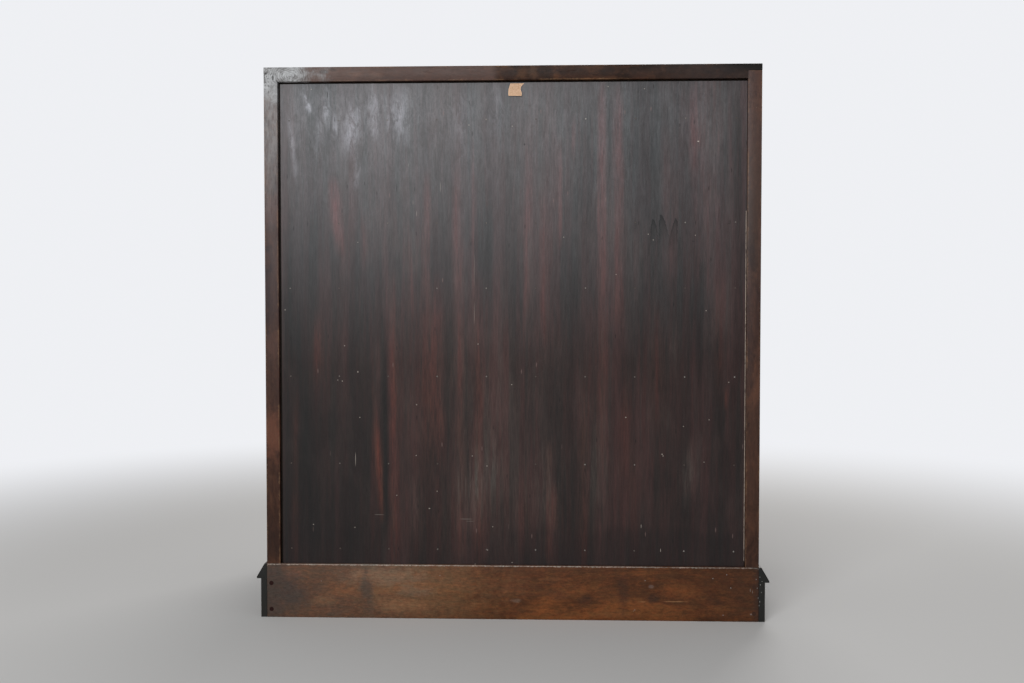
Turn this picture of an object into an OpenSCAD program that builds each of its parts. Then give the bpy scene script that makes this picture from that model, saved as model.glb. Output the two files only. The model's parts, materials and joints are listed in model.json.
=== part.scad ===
// Slant front writing bureau: a carcase with a fold down writing flap on pull out supports,
// four long drawers with bail handles, and a fitted gallery behind the flap.
// X runs across, the front faces -Y and Z is up. The origin is on the floor, under the middle.

/* [Carcase] */
// Width across the two side boards
case_w = 900; // [760:1:1100]
// Depth from the back edges of the sides to the front
case_d = 450; // [410:1:520]
// Height from the floor to the top surface
case_h = 1007; // [980:1:1060]
// Thickness of the side boards
side_t = 25; // [20:1:32]
// Thickness of the top board
top_t = 26; // [22:1:32]
// Thickness of the top board's lip over the ends of the side boards
top_lip = 12; // [8:1:16]
// Depth of the housings that hold boards in the sides
groove = 8; // [4:1:12]
// Distance that the housings stop short of a board's front edge
stop = 12; // [8:1:20]
// Thickness of the bottom board
bottom_t = 24; // [18:1:28]
// Height of the top of the bottom board
bottom_z = 139; // [130:1:150]

/* [Back] */
// Thickness of the plywood back
panel_t = 5; // [4:0.5:8]
// Depth of the back behind the edges of the sides
panel_inset = 6; // [3:0.5:10]
// Gap above the plywood back
panel_top_gap = 3.5; // [1:0.5:8]
// Gap beside the plywood back on the +X side
panel_wide_gap = 4; // [0.5:0.5:6]
// Gap beside the plywood back on the -X side
panel_thin_gap = 0.5; // [0.5:0.5:6]
// Distance between brads
brad_spacing = 90; // [60:1:120]
// Radius of a brad's head
brad_head_r = 1.3; // [1:0.1:2]
// Radius of a brad's shank
brad_r = 0.7; // [0.5:0.1:0.9]
// Length of a brad under its head
brad_len = 17; // [12:1:25]

/* [Plinth] */
// Height of the plinth
plinth_h = 99; // [80:1:110]
// Thickness of the back board of the plinth
plinth_back_t = 20; // [15:1:25]
// Distance that the plinth's back board stands behind the sides
plinth_proud = 1; // [0.5:0.5:3]
// Thickness of the facings on the front and sides
facing_t = 11.5; // [8:0.5:15]
// Height of the moulding above the facings
moulding_h = 27.5; // [20:0.5:32]
// Distance that the moulding stands out
moulding_out = 19; // [15:1:22]
// Width of the flat ledge on top of the moulding
moulding_ledge = 5; // [2:1:6]
// Height of the moulding's square lip
moulding_lip = 3.5; // [2:0.5:5]
// Thickness of the rail between the sides behind the front facing
front_rail_t = 20; // [15:1:25]
// Radius of the wooden plugs in the back board
plug_r = 4; // [3:0.5:5]
// Depth of the wooden plugs
plug_depth = 6; // [4:1:10]
// Distance of the plugs from the ends of the back board
plug_edge = 8.3; // [6:0.1:15]
// Heights of the plugs
plug_z = [15.1, 63.3];
// Width of the glue blocks
block_w = 24; // [18:1:30]
// Length of the glue blocks
block_len = 90; // [60:1:100]

/* [Writing flap] */
// Lean of the closed flap from upright
slope = 40; // [36:1:42]
// Thickness of the flap
flap_t = 24; // [20:1:28]
// Height of the writing surface
bed_z = 736.5; // [725:0.5:745]
// Thickness of the fixed part of the writing surface
bed_t = 24; // [20:1:28]
// Gap between the flap and the sides
flap_side_gap = 1; // [0.5:0.5:2]
// Gap between the flap's lower end and the hinge line
flap_low_gap = 1; // [0.5:0.5:2]
// Gap between the flap's upper end and the top board
flap_top_gap = 1.5; // [1:0.5:3]
// Width of the cross pieces at the flap's ends
flap_end_w = 55; // [40:1:80]
// Length of the tongues on the flap
tongue_len = 12; // [8:1:20]
// Thickness of the tongues on the flap
tongue_t = 8; // [6:1:10]
// Height of the strip that the closed flap rests on
stop_h = 20; // [15:1:25]
// Thickness of that strip along its underside
stop_t = 30; // [20:1:40]

/* [Flap hinges] */
// Length of each hinge
hinge_len = 60; // [40:1:80]
// Width of a hinge leaf
leaf_w = 24; // [16:1:30]
// Thickness of a hinge leaf
leaf_t = 2; // [1.5:0.1:2.5]
// Outer radius of the hinge knuckles
knuckle_r = 3.2; // [3:0.1:4]
// Radius of the hinge pin
pin_r = 1.5; // [1.2:0.1:1.8]
// Distance of the outer hinges from the middle
hinge_x = 310; // [200:1:330]
// Distance of a leaf's outer screws from its middle
screw_x = 20; // [12:1:22]
// Distance of the screws from the hinge line
screw_in = 15; // [12:1:17]
// Radius of a screw's shank
screw_r = 1.6; // [1.2:0.1:2]
// Radius of a screw's head
screw_head_r = 3.4; // [2.8:0.1:4]
// Depth of a screw's countersunk head
screw_head_t = 1.8; // [1.2:0.1:2]
// Length of a screw
screw_len = 14; // [10:1:18]
// Width and depth of the slot in a screw
screw_slot = 0.8; // [0.6:0.1:1]

/* [Flap lock] */
// Width of the lock case
lock_w = 64; // [50:1:80]
// Length of the lock case down the flap
lock_len = 46; // [42:1:60]
// Depth of the lock case
lock_t = 14; // [12:1:16]
// Width of the bolt
bolt_w = 18; // [12:1:24]
// Thickness of the bolt
bolt_t = 6; // [4:1:8]
// Travel of the bolt
bolt_throw = 8; // [5:1:10]
// Distance of the key from the flap's upper end
key_down = 34; // [32:1:36]
// Radius of the key's shank
key_r = 2.2; // [1.5:0.1:3]
// Reach of the key's bit from the middle of its shank
bit_reach = 6.5; // [5:0.5:8]
// Thickness of the key's bit
bit_t = 2; // [1.5:0.1:3]
// Length of the key outside the flap
key_out = 30; // [20:1:40]
// Outer radius of the key's bow
bow_r = 10; // [8:1:14]
// Radius of the key's bow wire
bow_wire = 2; // [1.5:0.1:2.5]
// Radius of the escutcheon
escutcheon_r = 11; // [10:1:16]
// Thickness of the escutcheon and of the strike plate
plate_t = 1.5; // [1:0.1:2]

/* [Flap supports] */
// Thickness of a flap support
loper_t = 22; // [18:1:26]
// Length of a flap support
loper_len = 400; // [350:1:420]
// Gap around a flap support
loper_gap = 0.5; // [0.3:0.1:1]
// Thickness of the partitions beside the top drawer
partition_t = 15; // [12:1:20]
// Thickness of the rail over the top drawer
rail_t = 13; // [10:1:18]
// Depth of the rail over the top drawer
rail_d = 60; // [40:1:80]
// Radius of the turned knobs on the flap supports
knob_r = 9; // [7:1:11]
// Length of those knobs
knob_len = 20; // [15:1:22]

/* [Drawers] */
// Heights of the middles of the three dividers, from the top down
divider_mid = [606, 445, 284.5];
// Thickness of the dividers
divider_t = 20; // [16:1:24]
// Depth of a divider's front rail
divider_rail = 60; // [40:1:80]
// Width of a divider's runners and depth of its rear rail
runner_w = 45; // [35:1:60]
// Thickness of the dust panels
dust_t = 5; // [4:1:8]
// Depth of the grooves that hold the dust panels
dust_groove = 6; // [4:1:10]
// Length of a long drawer from front to back
drawer_d = 420; // [380:1:425]
// Thickness of the drawer fronts
front_t = 20; // [18:1:24]
// Thickness of the drawer sides and backs
wall_t = 11; // [9:1:14]
// Thickness of the drawer bottoms
floor_t = 6; // [4:1:8]
// Gap at the sides and top of a drawer
drawer_gap = 1; // [0.5:0.5:2]
// Gap between a drawer and its runners
run_gap = 0.3; // [0.2:0.1:0.5]
// Height of a drawer's bottom over the edge of its sides
floor_up = 9; // [8:1:14]
// Distance that a drawer's back is lower than its sides
back_down = 10; // [5:1:20]
// Size of the drawer stops along the front rail, across it and up
stop_block = [40, 20, 6];
// Thickness of wood in front of the dovetails
lap = 6; // [4:1:8]
// Distance between the dovetails
tail_pitch = 33; // [25:1:45]
// Splay of the dovetails
tail_splay = 9; // [6:1:12]

/* [Handles] */
// Distance of each handle's middle from the middle of the drawer
handle_x = 270; // [200:1:320]
// Distance between the two posts of a handle
post_pitch = 86; // [70:1:100]
// Distance of the bail's pivots from the drawer front
pivot_out = 18; // [15:1:22]
// Radius of a post's ball head
head_r = 6; // [5:0.5:7]
// Radius of a post's stem
stem_r = 3.5; // [3:0.1:4]
// Radius of a rosette
rosette_r = 13; // [10:1:16]
// Thickness of a rosette at its rim
rosette_t = 1.6; // [1:0.1:3]
// Radius of the threaded stud behind a post
stud_r = 2; // [1.5:0.1:2.5]
// Radius of the bail's pivot pins
pivot_r = 1.8; // [1.5:0.1:2]
// Radius of the bail's wire
bail_r = 2.5; // [2:0.1:3]
// Drop of the bail from its pivots
bail_drop = 36; // [30:1:40]
// Radius of the bail's lower corners
bail_bend = 13; // [10:1:16]
// Height of the bail's pivots over the middle of the drawer front
pivot_up = 12; // [0:1:20]

/* [Gallery] */
// Gap between the gallery and the strip that the closed flap rests on
gallery_gap = 17; // [5:1:40]
// Share of the gallery's height that is over its shelf
shelf_share = 0.26; // [0.2:0.01:0.4]
// Thickness of the gallery's shelf
shelf_t = 12; // [10:1:15]
// Thickness of the upright boards
upright_t = 10; // [8:1:12]
// Width of the middle bay
bay_w = 250; // [200:1:300]
// Height of the space for the small drawers
small_bay_h = 60; // [45:1:70]
// Thickness of the boards over the small drawers
over_t = 8; // [6:1:10]
// Thickness of a small drawer's front
small_front_t = 13; // [12:1:16]
// Thickness of a small drawer's sides
small_wall_t = 7; // [6:1:9]
// Thickness of a small drawer's bottom
small_floor_t = 4; // [3:1:5]
// Gap behind a small drawer
small_back_gap = 13; // [2:1:30]
// Radius of the small drawers' knobs
small_knob_r = 7; // [5:1:9]
// Length of the small drawers' knobs
small_knob_len = 15; // [10:1:18]

/* [Fits] */
// Gap at a glued joint
glue = 0.1; // [0.05:0.05:0.2]
// Gap round a turning pin
turn = 0.05; // [0.02:0.01:0.1]
// Gap between a moving piece and the face that it passes
slide = 0.3; // [0.2:0.1:0.6]
// Gap round a hinge knuckle
knuckle_gap = 0.5; // [0.3:0.1:0.8]

/* [Hidden] */
$fn = 48;
LEFT = -1;
RIGHT = 1;
// Overshoot of a cut past the face that it opens
cut = 1;
dark = "saddlebrown";
darker = "#4a2c20";
pale = "burlywood";

// Overall places
case_x = case_w / 2;
inner_x = case_x - side_t;
front_reach = max(pivot_out + head_r, moulding_out, knob_len);
back_y = (case_d + front_reach - plinth_proud) / 2;
front_y = back_y - case_d;
panel_back_y = back_y - panel_inset;
panel_y = panel_back_y - panel_t;
side_top_z = case_h - top_lip;
top_under = case_h - top_t;
bottom_under = bottom_z - bottom_t;

// The slope: its outer face is flush with the sides, its inner face runs through the hinge line
hinge_y = front_y + flap_t * cos(slope);
knee_z = bed_z + flap_t * sin(slope);
function outer_y(z) = front_y + (z - knee_z) * tan(slope);
function inner_y(z) = hinge_y + (z - bed_z) * tan(slope);
flap_run = (top_under - bed_z) / cos(slope);
flap_top = flap_run - flap_top_gap;
flap_x = inner_x - flap_side_gap;
board_x = flap_x - flap_end_w;
nose = [inner_y(top_under), top_under];
nose_tip = nose + flap_t * [-cos(slope), sin(slope)];
bed_under = bed_z - bed_t;

// The lock, measured up the flap from the hinge line and out from its inner face
key_s = flap_top - key_down;
bolt_n = lock_t / 2;
bolt_tail = key_s + bit_reach + slide;
bolt_in = flap_top - slide;
cavity_r = bit_reach + slide;
key_hole_r = key_r + turn;

// Supports and the frame round the top drawer
loper_x = inner_x - loper_gap;
frame_x = inner_x - loper_t - 2 * loper_gap;
frame_top = bed_under - slide;
rail_under = frame_top - rail_t;
bay_x = frame_x - partition_t;

// Dividers and the drawer spaces between them, from the top down
divider_half = divider_t / 2;
bay_floor = [for (z = divider_mid) z + divider_half, bottom_z];
bay_roof = [rail_under, for (z = divider_mid) z - divider_half];
bay_half = [bay_x, inner_x, inner_x, inner_x];
rear_rail_y = panel_y - runner_w;
inside_rail_y = front_y + divider_rail;

// Gallery
stop_low = top_under - stop_h;
stop_gap = slide / cos(slope);
stop_back_y = inner_y(stop_low) + stop_gap + stop_t;
gallery_y = stop_back_y + gallery_gap;
shelf_top = top_under - shelf_share * (top_under - bed_z);
shelf_under = shelf_top - shelf_t;
shelf_mid = shelf_top - shelf_t / 2;
small_d = panel_y - gallery_y - small_back_gap;
bay_side = bay_w / 2;
small_in = bay_side + upright_t;
small_roof = bed_z + small_bay_h;
over_top = small_roof + over_t;
hole_mid = (small_in + inner_x) / 2;

// Heights of the rows of brads, each in the middle of the board that it holds
brad_rows = [shelf_mid, bed_z - bed_t / 2, divider_mid[0], divider_mid[1], divider_mid[2],
             bottom_z - bottom_t / 2];
brad_each_side = floor((inner_x - brad_spacing / 2) / brad_spacing) + 1;
brad_xs = [for (i = [-brad_each_side : brad_each_side - 1]) (i + 0.5) * brad_spacing];
brad_head_t = 0.6;

// Plinth
facing_h = plinth_h - moulding_h;
skirt = max(moulding_out, facing_t) + cut;
front_plan = [[-case_x, front_y], [-case_x - skirt, front_y - skirt],
              [case_x + skirt, front_y - skirt], [case_x, front_y]];
side_plan = [[case_x, front_y], [case_x + skirt, front_y - skirt], [case_x + skirt, back_y],
             [case_x, back_y]];

// A drawer: middle x, half width, low z, high z, front y, depth, front, wall and bottom thickness
function long_drawer(i) =
    [0, bay_half[i] - drawer_gap, bay_floor[i] + run_gap, bay_roof[i] - drawer_gap, front_y,
     drawer_d, front_t, wall_t, floor_t];
function small_drawer(hand) =
    [hand * hole_mid, (inner_x - small_in) / 2 - drawer_gap, bed_z + run_gap,
     small_roof - drawer_gap, gallery_y, small_d, small_front_t, small_wall_t, small_floor_t];
function mid_x(d) = d[0];
function half_w(d) = d[1];
function low_z(d) = d[2];
function high_z(d) = d[3];
function face_y(d) = d[4];
function rear_y(d) = d[4] + d[5];
function face_t(d) = d[6];
function side_wall(d) = d[7];
function floor_of(d) = d[8];
function floor_low(d) = low_z(d) + floor_up;
function tails(d) = max(1, floor((high_z(d) - low_z(d)) / tail_pitch));
function pivot_z(d) = (low_z(d) + high_z(d)) / 2 + pivot_up;

// Helpers
module block(low, high) {
    translate(low) cube(high - low);
}
module along_x(x0, x1) {
    translate([x0, 0, 0]) rotate([90, 0, 90]) linear_extrude(x1 - x0) children();
}
module along_y(y0, y1) {
    translate([0, y1, 0]) rotate([90, 0, 0]) linear_extrude(y1 - y0) children();
}
module rod_x(x0, x1, r) {
    translate([x0, 0, 0]) rotate([0, 90, 0]) cylinder(h = x1 - x0, r = r);
}
module cylinder_y(h, r) {
    rotate([-90, 0, 0]) cylinder(h = h, r = r);
}
module at_hand(hand) {
    if (hand == RIGHT) children();
    else mirror([1, 0, 0]) children();
}
module both_hands() {
    for (hand = [LEFT, RIGHT]) at_hand(hand) children();
}
// The flap's own axes: x across, y up the slope from the hinge line, z out from the inner face
module on_flap() {
    translate([0, hinge_y, bed_z]) rotate([90 - slope, 0, 0]) children();
}
module at_hinges() {
    for (x = [-hinge_x, 0, hinge_x]) translate([x, 0, 0]) children();
}
module on_hinge_line() {
    translate([0, hinge_y, bed_z]) children();
}

// Carcase
module housed_board(y, z0, z1) {
    block([-inner_x, y, z0], [inner_x, panel_y, z1]);
    block([-inner_x - groove, y + stop, z0], [inner_x + groove, panel_y, z1]);
}
module housing(y, z0, z1) {
    block([inner_x - cut, y + stop, z0], [inner_x + groove, panel_y, z1]);
}
module brad_holes(z) {
    for (x = brad_xs) translate([x, panel_back_y - brad_len - glue, z])
        cylinder_y(brad_len + cut, brad_r + turn);
}
module side_board(hand) {
    notch_y = back_y + plinth_proud - plinth_back_t;
    at_hand(hand) difference() {
        along_x(inner_x, case_x) polygon([
            [notch_y, 0], [front_y, 0], [front_y, knee_z], [outer_y(side_top_z), side_top_z],
            [back_y, side_top_z], [back_y, plinth_h], [notch_y, plinth_h]
        ]);
        housing(front_y, bottom_under, bottom_z);
        for (z = divider_mid) housing(front_y, z - divider_half, z + divider_half);
        housing(hinge_y, bed_under, bed_z);
        housing(gallery_y, shelf_under, shelf_top);
    }
}
module side_left() {
    color(dark) side_board(LEFT);
}
module side_right() {
    color(dark) side_board(RIGHT);
}
module top_board() {
    color(dark) difference() {
        union() {
            along_x(-inner_x, inner_x) polygon([
                [back_y, top_under], [back_y, case_h], [outer_y(case_h), case_h], nose_tip, nose
            ]);
            along_x(-case_x, case_x) polygon([
                [back_y, side_top_z], [back_y, case_h], [outer_y(case_h), case_h],
                [outer_y(side_top_z), side_top_z]
            ]);
        }
        on_flap() flap_space();
        on_flap() bolt_hole(flap_run - cut, flap_run + bolt_throw + cut);
        on_flap() strike_seat();
    }
}
module bottom_board() {
    color(dark) difference() {
        housed_board(front_y, bottom_under, bottom_z);
        brad_holes(bottom_z - bottom_t / 2);
    }
}
module back_panel() {
    color(darker) difference() {
        block([-inner_x + panel_thin_gap, panel_y, plinth_h],
              [inner_x - panel_wide_gap, panel_back_y, top_under - panel_top_gap]);
        for (z = brad_rows) brad_holes(z);
    }
}
module back_brads() {
    color("silver") for (z = brad_rows, x = brad_xs) translate([x, panel_back_y, z]) {
        cylinder_y(brad_head_t, brad_head_r);
        translate([0, -brad_len, 0]) cylinder_y(brad_len, brad_r);
    }
}
module desk_bed() {
    color(dark) difference() {
        housed_board(hinge_y, bed_under, bed_z);
        brad_holes(bed_z - bed_t / 2);
        on_hinge_line() at_hinges() {
            leaf_blank(-leaf_t, cut);
            screw_holes();
            rod_x(-hinge_len / 2 - slide, hinge_len / 2 + slide, knuckle_r + knuckle_gap);
        }
    }
}

// Dividers: front rail, rear rail, two runners and a dust panel, with two drawer stops
module dust_panel(mid, grow) {
    x = inner_x - runner_w + dust_groove;
    block([-x - grow, inside_rail_y - dust_groove - grow, mid - dust_t / 2 - grow],
          [x + grow, rear_rail_y + dust_groove + grow, mid + dust_t / 2 + grow]);
}
module divider(mid) {
    z0 = mid - divider_half;
    z1 = mid + divider_half;
    color(dark) difference() {
        union() {
            block([-inner_x, front_y, z0], [inner_x, inside_rail_y, z1]);
            block([-inner_x - groove, front_y + stop, z0], [inner_x + groove, inside_rail_y, z1]);
        }
        dust_panel(mid, glue);
    }
    color(pale) difference() {
        block([-inner_x - groove, rear_rail_y, z0], [inner_x + groove, panel_y, z1]);
        dust_panel(mid, glue);
        brad_holes(mid);
    }
    color(pale) difference() {
        both_hands() block([inner_x - runner_w, inside_rail_y + glue, z0],
                           [inner_x + groove, rear_rail_y - glue, z1]);
        dust_panel(mid, glue);
    }
    color(pale) dust_panel(mid, 0);
}
module drawer_stops(z, x) {
    color(pale) both_hands() translate([x - 2 * stop_block[0], front_y + front_t + slide, z + glue])
        cube(stop_block);
}
module divider_upper() {
    divider(divider_mid[0]);
    drawer_stops(bay_floor[0], bay_x);
}
module divider_middle() {
    divider(divider_mid[1]);
    drawer_stops(bay_floor[1], inner_x);
}
module divider_lower() {
    divider(divider_mid[2]);
    drawer_stops(bay_floor[2], inner_x);
}
module top_drawer_frame() {
    color(dark) both_hands() block([bay_x, front_y, bay_floor[0]], [frame_x, panel_y, frame_top]);
    color(dark) block([-bay_x + glue, front_y, rail_under], [bay_x - glue, front_y + rail_d, frame_top]);
}

// Plinth
module front_run() {
    intersection() {
        linear_extrude(plinth_h) polygon(front_plan);
        along_x(-case_x - skirt, case_x + skirt) translate([front_y, 0]) mirror([1, 0]) children();
    }
}
module side_run(hand) {
    at_hand(hand) intersection() {
        linear_extrude(plinth_h) polygon(side_plan);
        along_y(front_y - skirt, back_y) translate([case_x, 0]) children();
    }
}
module facing_profile() {
    square([facing_t, facing_h]);
}
module moulding_profile() {
    polygon([[0, facing_h], [moulding_out, facing_h], [moulding_out, facing_h + moulding_lip],
             [moulding_ledge, plinth_h], [0, plinth_h]]);
}
module plinth_front() {
    color(dark) front_run() facing_profile();
}
module plinth_left() {
    color(dark) side_run(LEFT) facing_profile();
}
module plinth_right() {
    color(dark) side_run(RIGHT) facing_profile();
}
module moulding_front() {
    color(darker) front_run() moulding_profile();
}
module moulding_left() {
    color(darker) side_run(LEFT) moulding_profile();
}
module moulding_right() {
    color(darker) side_run(RIGHT) moulding_profile();
}
module at_plugs() {
    for (z = plug_z) both_hands() translate([case_x - plug_edge, back_y + plinth_proud, z]) children();
}
module plinth_back() {
    y = back_y + plinth_proud;
    color(dark) difference() {
        block([-case_x, y - plinth_back_t, 0], [case_x, y, plinth_h]);
        at_plugs() translate([0, -plug_depth, 0]) cylinder_y(plug_depth + cut, plug_r + turn);
    }
    color(darker) at_plugs() translate([0, glue - plug_depth, 0])
        cylinder_y(plug_depth - glue, plug_r);
}
module plinth_front_rail() {
    color(dark) block([-inner_x, front_y, 0], [inner_x, front_y + front_rail_t, bottom_under]);
}
module glue_blocks() {
    z0 = bottom_under - block_len;
    rear = back_y + plinth_proud - plinth_back_t;
    front = front_y + front_rail_t;
    color(pale) both_hands() {
        block([inner_x - block_w, rear - block_w, z0], [inner_x, rear, bottom_under]);
        block([inner_x - block_w, front, z0], [inner_x, front + block_w, bottom_under]);
    }
}

// Gallery
module gallery_shelf() {
    color(dark) difference() {
        housed_board(gallery_y, shelf_under, shelf_top);
        brad_holes(shelf_mid);
    }
}
module upright(x, z0, z1) {
    block([x, gallery_y, z0], [x + upright_t, panel_y, z1]);
}
module gallery_uprights() {
    divide_x = hole_mid - upright_t / 2;
    color(dark) both_hands() {
        upright(bay_side, bed_z, shelf_under);
        upright(bay_side, shelf_top, top_under);
        upright(divide_x, over_top, shelf_under);
        upright(divide_x, shelf_top, top_under);
    }
}
module gallery_drawer_tops() {
    color(dark) both_hands() block([small_in, gallery_y, small_roof], [inner_x, panel_y, over_top]);
}

// Flap
module flap_stop() {
    color(dark) along_x(-inner_x, inner_x) polygon([
        [inner_y(stop_low) + stop_gap, stop_low], [stop_back_y, stop_low],
        [stop_back_y, top_under], [inner_y(top_under) + stop_gap, top_under]
    ]);
}
module flap_space() {
    block([-inner_x, 0, 0], [inner_x, flap_run, flap_t + cut]);
}
module flap_slab(x0, x1) {
    block([x0, flap_low_gap, 0], [x1, flap_top, flap_t]);
}
module tongue(grow, over) {
    inset = (flap_t - tongue_t) / 2;
    block([-board_x - tongue_len - grow, flap_low_gap - over, inset - grow],
          [board_x + tongue_len + grow, flap_top + over, flap_t - inset + grow]);
}
module flap_board() {
    color(dark) on_flap() difference() {
        union() {
            flap_slab(-board_x, board_x);
            tongue(0, 0);
        }
        flap_hinge_seats();
        block([-lock_w / 2, flap_top - lock_len, -cut], [lock_w / 2, flap_top + cut, lock_t]);
        key_way(lock_t - cut, flap_t + cut);
    }
}
module flap_end(hand) {
    color(darker) on_flap() at_hand(hand) difference() {
        flap_slab(board_x, flap_x);
        tongue(glue, cut);
        flap_hinge_seats();
    }
}
module flap_end_left() {
    flap_end(LEFT);
}
module flap_end_right() {
    flap_end(RIGHT);
}

// Hinges: the bed carries the two outer knuckles of each hinge, the flap the middle one
module leaf_blank(z0, z1) {
    block([-hinge_len / 2, 0, z0], [hinge_len / 2, leaf_w, z1]);
}
module flap_hinge_seats() {
    at_hinges() {
        leaf_blank(-cut, leaf_t);
        mirror([0, 0, 1]) screw_holes();
        rod_x(-hinge_len / 2 - slide, hinge_len / 2 + slide, knuckle_r + knuckle_gap);
    }
}
module at_screws() {
    for (x = [-screw_x, 0, screw_x]) translate([x, screw_in, 0]) children();
}
module screw_body(grow) {
    translate([0, 0, -screw_len - grow]) cylinder(h = screw_len, r = screw_r + grow);
    translate([0, 0, -screw_head_t])
        cylinder(h = screw_head_t, r1 = screw_r + grow, r2 = screw_head_r + grow);
}
module screw() {
    difference() {
        screw_body(0);
        block([-screw_head_r, -screw_slot / 2, -screw_slot], [screw_head_r, screw_slot / 2, cut]);
    }
}
module screw_holes() {
    at_screws() {
        screw_body(turn);
        cylinder(h = cut, r = screw_head_r + turn);
    }
}
module outer_knuckles(r, grow) {
    for (hand = [LEFT, RIGHT]) at_hand(hand)
        rod_x(hinge_len / 6 + slide / 2 - grow, hinge_len / 2 + grow, r);
}
module middle_knuckle(r, grow) {
    rod_x(-hinge_len / 6 + slide / 2 - grow, hinge_len / 6 - slide / 2 + grow, r);
}
module hinge_bed_leaves() {
    color("goldenrod") on_hinge_line() at_hinges() difference() {
        union() {
            leaf_blank(-leaf_t, 0);
            outer_knuckles(knuckle_r, 0);
        }
        middle_knuckle(knuckle_r + knuckle_gap, slide);
        rod_x(-hinge_len, hinge_len, pin_r + turn);
        screw_holes();
    }
    color("goldenrod") on_hinge_line() at_hinges() at_screws() screw();
}
module hinge_flap_leaves() {
    color("goldenrod") on_flap() at_hinges() difference() {
        union() {
            leaf_blank(0, leaf_t);
            middle_knuckle(knuckle_r, 0);
        }
        outer_knuckles(knuckle_r + knuckle_gap, slide);
        rod_x(-hinge_len, hinge_len, pin_r + turn);
        mirror([0, 0, 1]) screw_holes();
    }
    color("goldenrod") on_flap() at_hinges() mirror([0, 0, 1]) at_screws() screw();
}
module hinge_pins() {
    color("silver") on_hinge_line() at_hinges() rod_x(-hinge_len / 2, hinge_len / 2, pin_r);
}

// Lock
module bolt_hole(s0, s1) {
    block([-bolt_w / 2 - slide, s0, bolt_n - bolt_t / 2 - slide],
          [bolt_w / 2 + slide, s1, bolt_n + bolt_t / 2 + slide]);
}
module key_way(n0, n1) {
    translate([0, key_s, n0]) cylinder(h = n1 - n0, r = key_hole_r);
    block([-bit_t / 2 - slide, key_s - bit_reach - slide, n0], [bit_t / 2 + slide, key_s, n1]);
}
module strike_seat() {
    block([-bolt_w, flap_run - cut, bolt_n - bolt_t], [bolt_w, flap_run + plate_t, bolt_n + bolt_t]);
}
module lock_strike() {
    color("goldenrod") on_flap() difference() {
        block([-bolt_w, flap_run, bolt_n - bolt_t], [bolt_w, flap_run + plate_t, bolt_n + bolt_t]);
        bolt_hole(flap_run - cut, flap_run + plate_t + cut);
    }
}
module flap_lock() {
    color("goldenrod") on_flap() difference() {
        block([-lock_w / 2, flap_top - lock_len, 0], [lock_w / 2, flap_top, lock_t]);
        bolt_hole(bolt_tail - slide, flap_top + cut);
        translate([0, key_s, bolt_n - bolt_t / 2 - slide]) cylinder(h = bolt_t + 2 * slide, r = cavity_r);
        key_way(bolt_n, lock_t + cut);
    }
}
module flap_lock_bolt() {
    color("silver") on_flap() block([-bolt_w / 2, bolt_tail, bolt_n - bolt_t / 2],
                                    [bolt_w / 2, bolt_in, bolt_n + bolt_t / 2]);
}
module flap_escutcheon() {
    color("goldenrod") on_flap() difference() {
        translate([0, key_s, flap_t]) cylinder(h = plate_t, r = escutcheon_r);
        key_way(flap_t - cut, flap_t + plate_t + cut);
    }
}
module flap_key() {
    tip_n = bolt_n - bolt_t / 2;
    bow_n = flap_t + key_out + bow_r - bow_wire;
    color("silver") on_flap() translate([0, key_s, 0]) {
        translate([0, 0, tip_n]) cylinder(h = flap_t + key_out - tip_n, r = key_r);
        block([-bit_t / 2, -bit_reach, tip_n], [bit_t / 2, 0, tip_n + bolt_t]);
        translate([0, 0, bow_n]) rotate([0, 90, 0]) rotate_extrude()
            translate([bow_r - bow_wire, 0]) circle(bow_wire);
    }
}

// Flap supports
module turned_knob(r, len) {
    rotate([90, 0, 0]) rotate_extrude() polygon([
        [0, -len / 2], [r / 3, -len / 2], [r / 3, 0], [r * 0.6, 0], [r * 0.6, len * 0.1],
        [r * 0.4, len * 0.25], [r * 0.4, len * 0.45], [r * 0.85, len * 0.6], [r, len * 0.75],
        [r * 0.85, len * 0.92], [r * 0.5, len], [0, len]
    ]);
}
module loper(hand) {
    z0 = bay_floor[0] + run_gap;
    x = loper_x - loper_t / 2;
    z = (z0 + frame_top) / 2;
    color(dark) at_hand(hand) difference() {
        block([loper_x - loper_t, front_y, z0], [loper_x, front_y + loper_len, frame_top]);
        translate([x, front_y - cut, z]) cylinder_y(knob_len / 2 + cut + glue, knob_r / 3 + turn);
    }
    color(darker) at_hand(hand) translate([x, front_y - glue, z]) turned_knob(knob_r, knob_len - glue);
}
module loper_left() {
    loper(LEFT);
}
module loper_right() {
    loper(RIGHT);
}

// Drawers
module tail_row(d, grow) {
    tip_y = face_y(d) + min(lap, face_t(d) / 2) - grow;
    root_y = face_y(d) + face_t(d);
    step = (high_z(d) - low_z(d)) / tails(d);
    root = step / 3 + grow;
    tip = root + (root_y - tip_y) * tan(tail_splay);
    for (i = [0 : tails(d) - 1]) translate([0, low_z(d) + (i + 0.5) * step])
        polygon([[tip_y, -tip], [root_y + cut, -root], [root_y + cut, root], [tip_y, tip]]);
}
module drawer_floor(d, grow, over) {
    x = half_w(d) - side_wall(d) / 2 + grow;
    y = face_y(d) + face_t(d) - side_wall(d) / 2 - grow;
    block([mid_x(d) - x, y, floor_low(d) - grow],
          [mid_x(d) + x, rear_y(d) + over, floor_low(d) + floor_of(d) + grow]);
}
module drawer_face(d) {
    difference() {
        block([mid_x(d) - half_w(d), face_y(d), low_z(d)],
              [mid_x(d) + half_w(d), face_y(d) + face_t(d), high_z(d)]);
        translate([mid_x(d), 0, 0]) both_hands()
            along_x(half_w(d) - side_wall(d) - glue, half_w(d) + cut) tail_row(d, glue);
        drawer_floor(d, glue, 0);
    }
}
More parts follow.
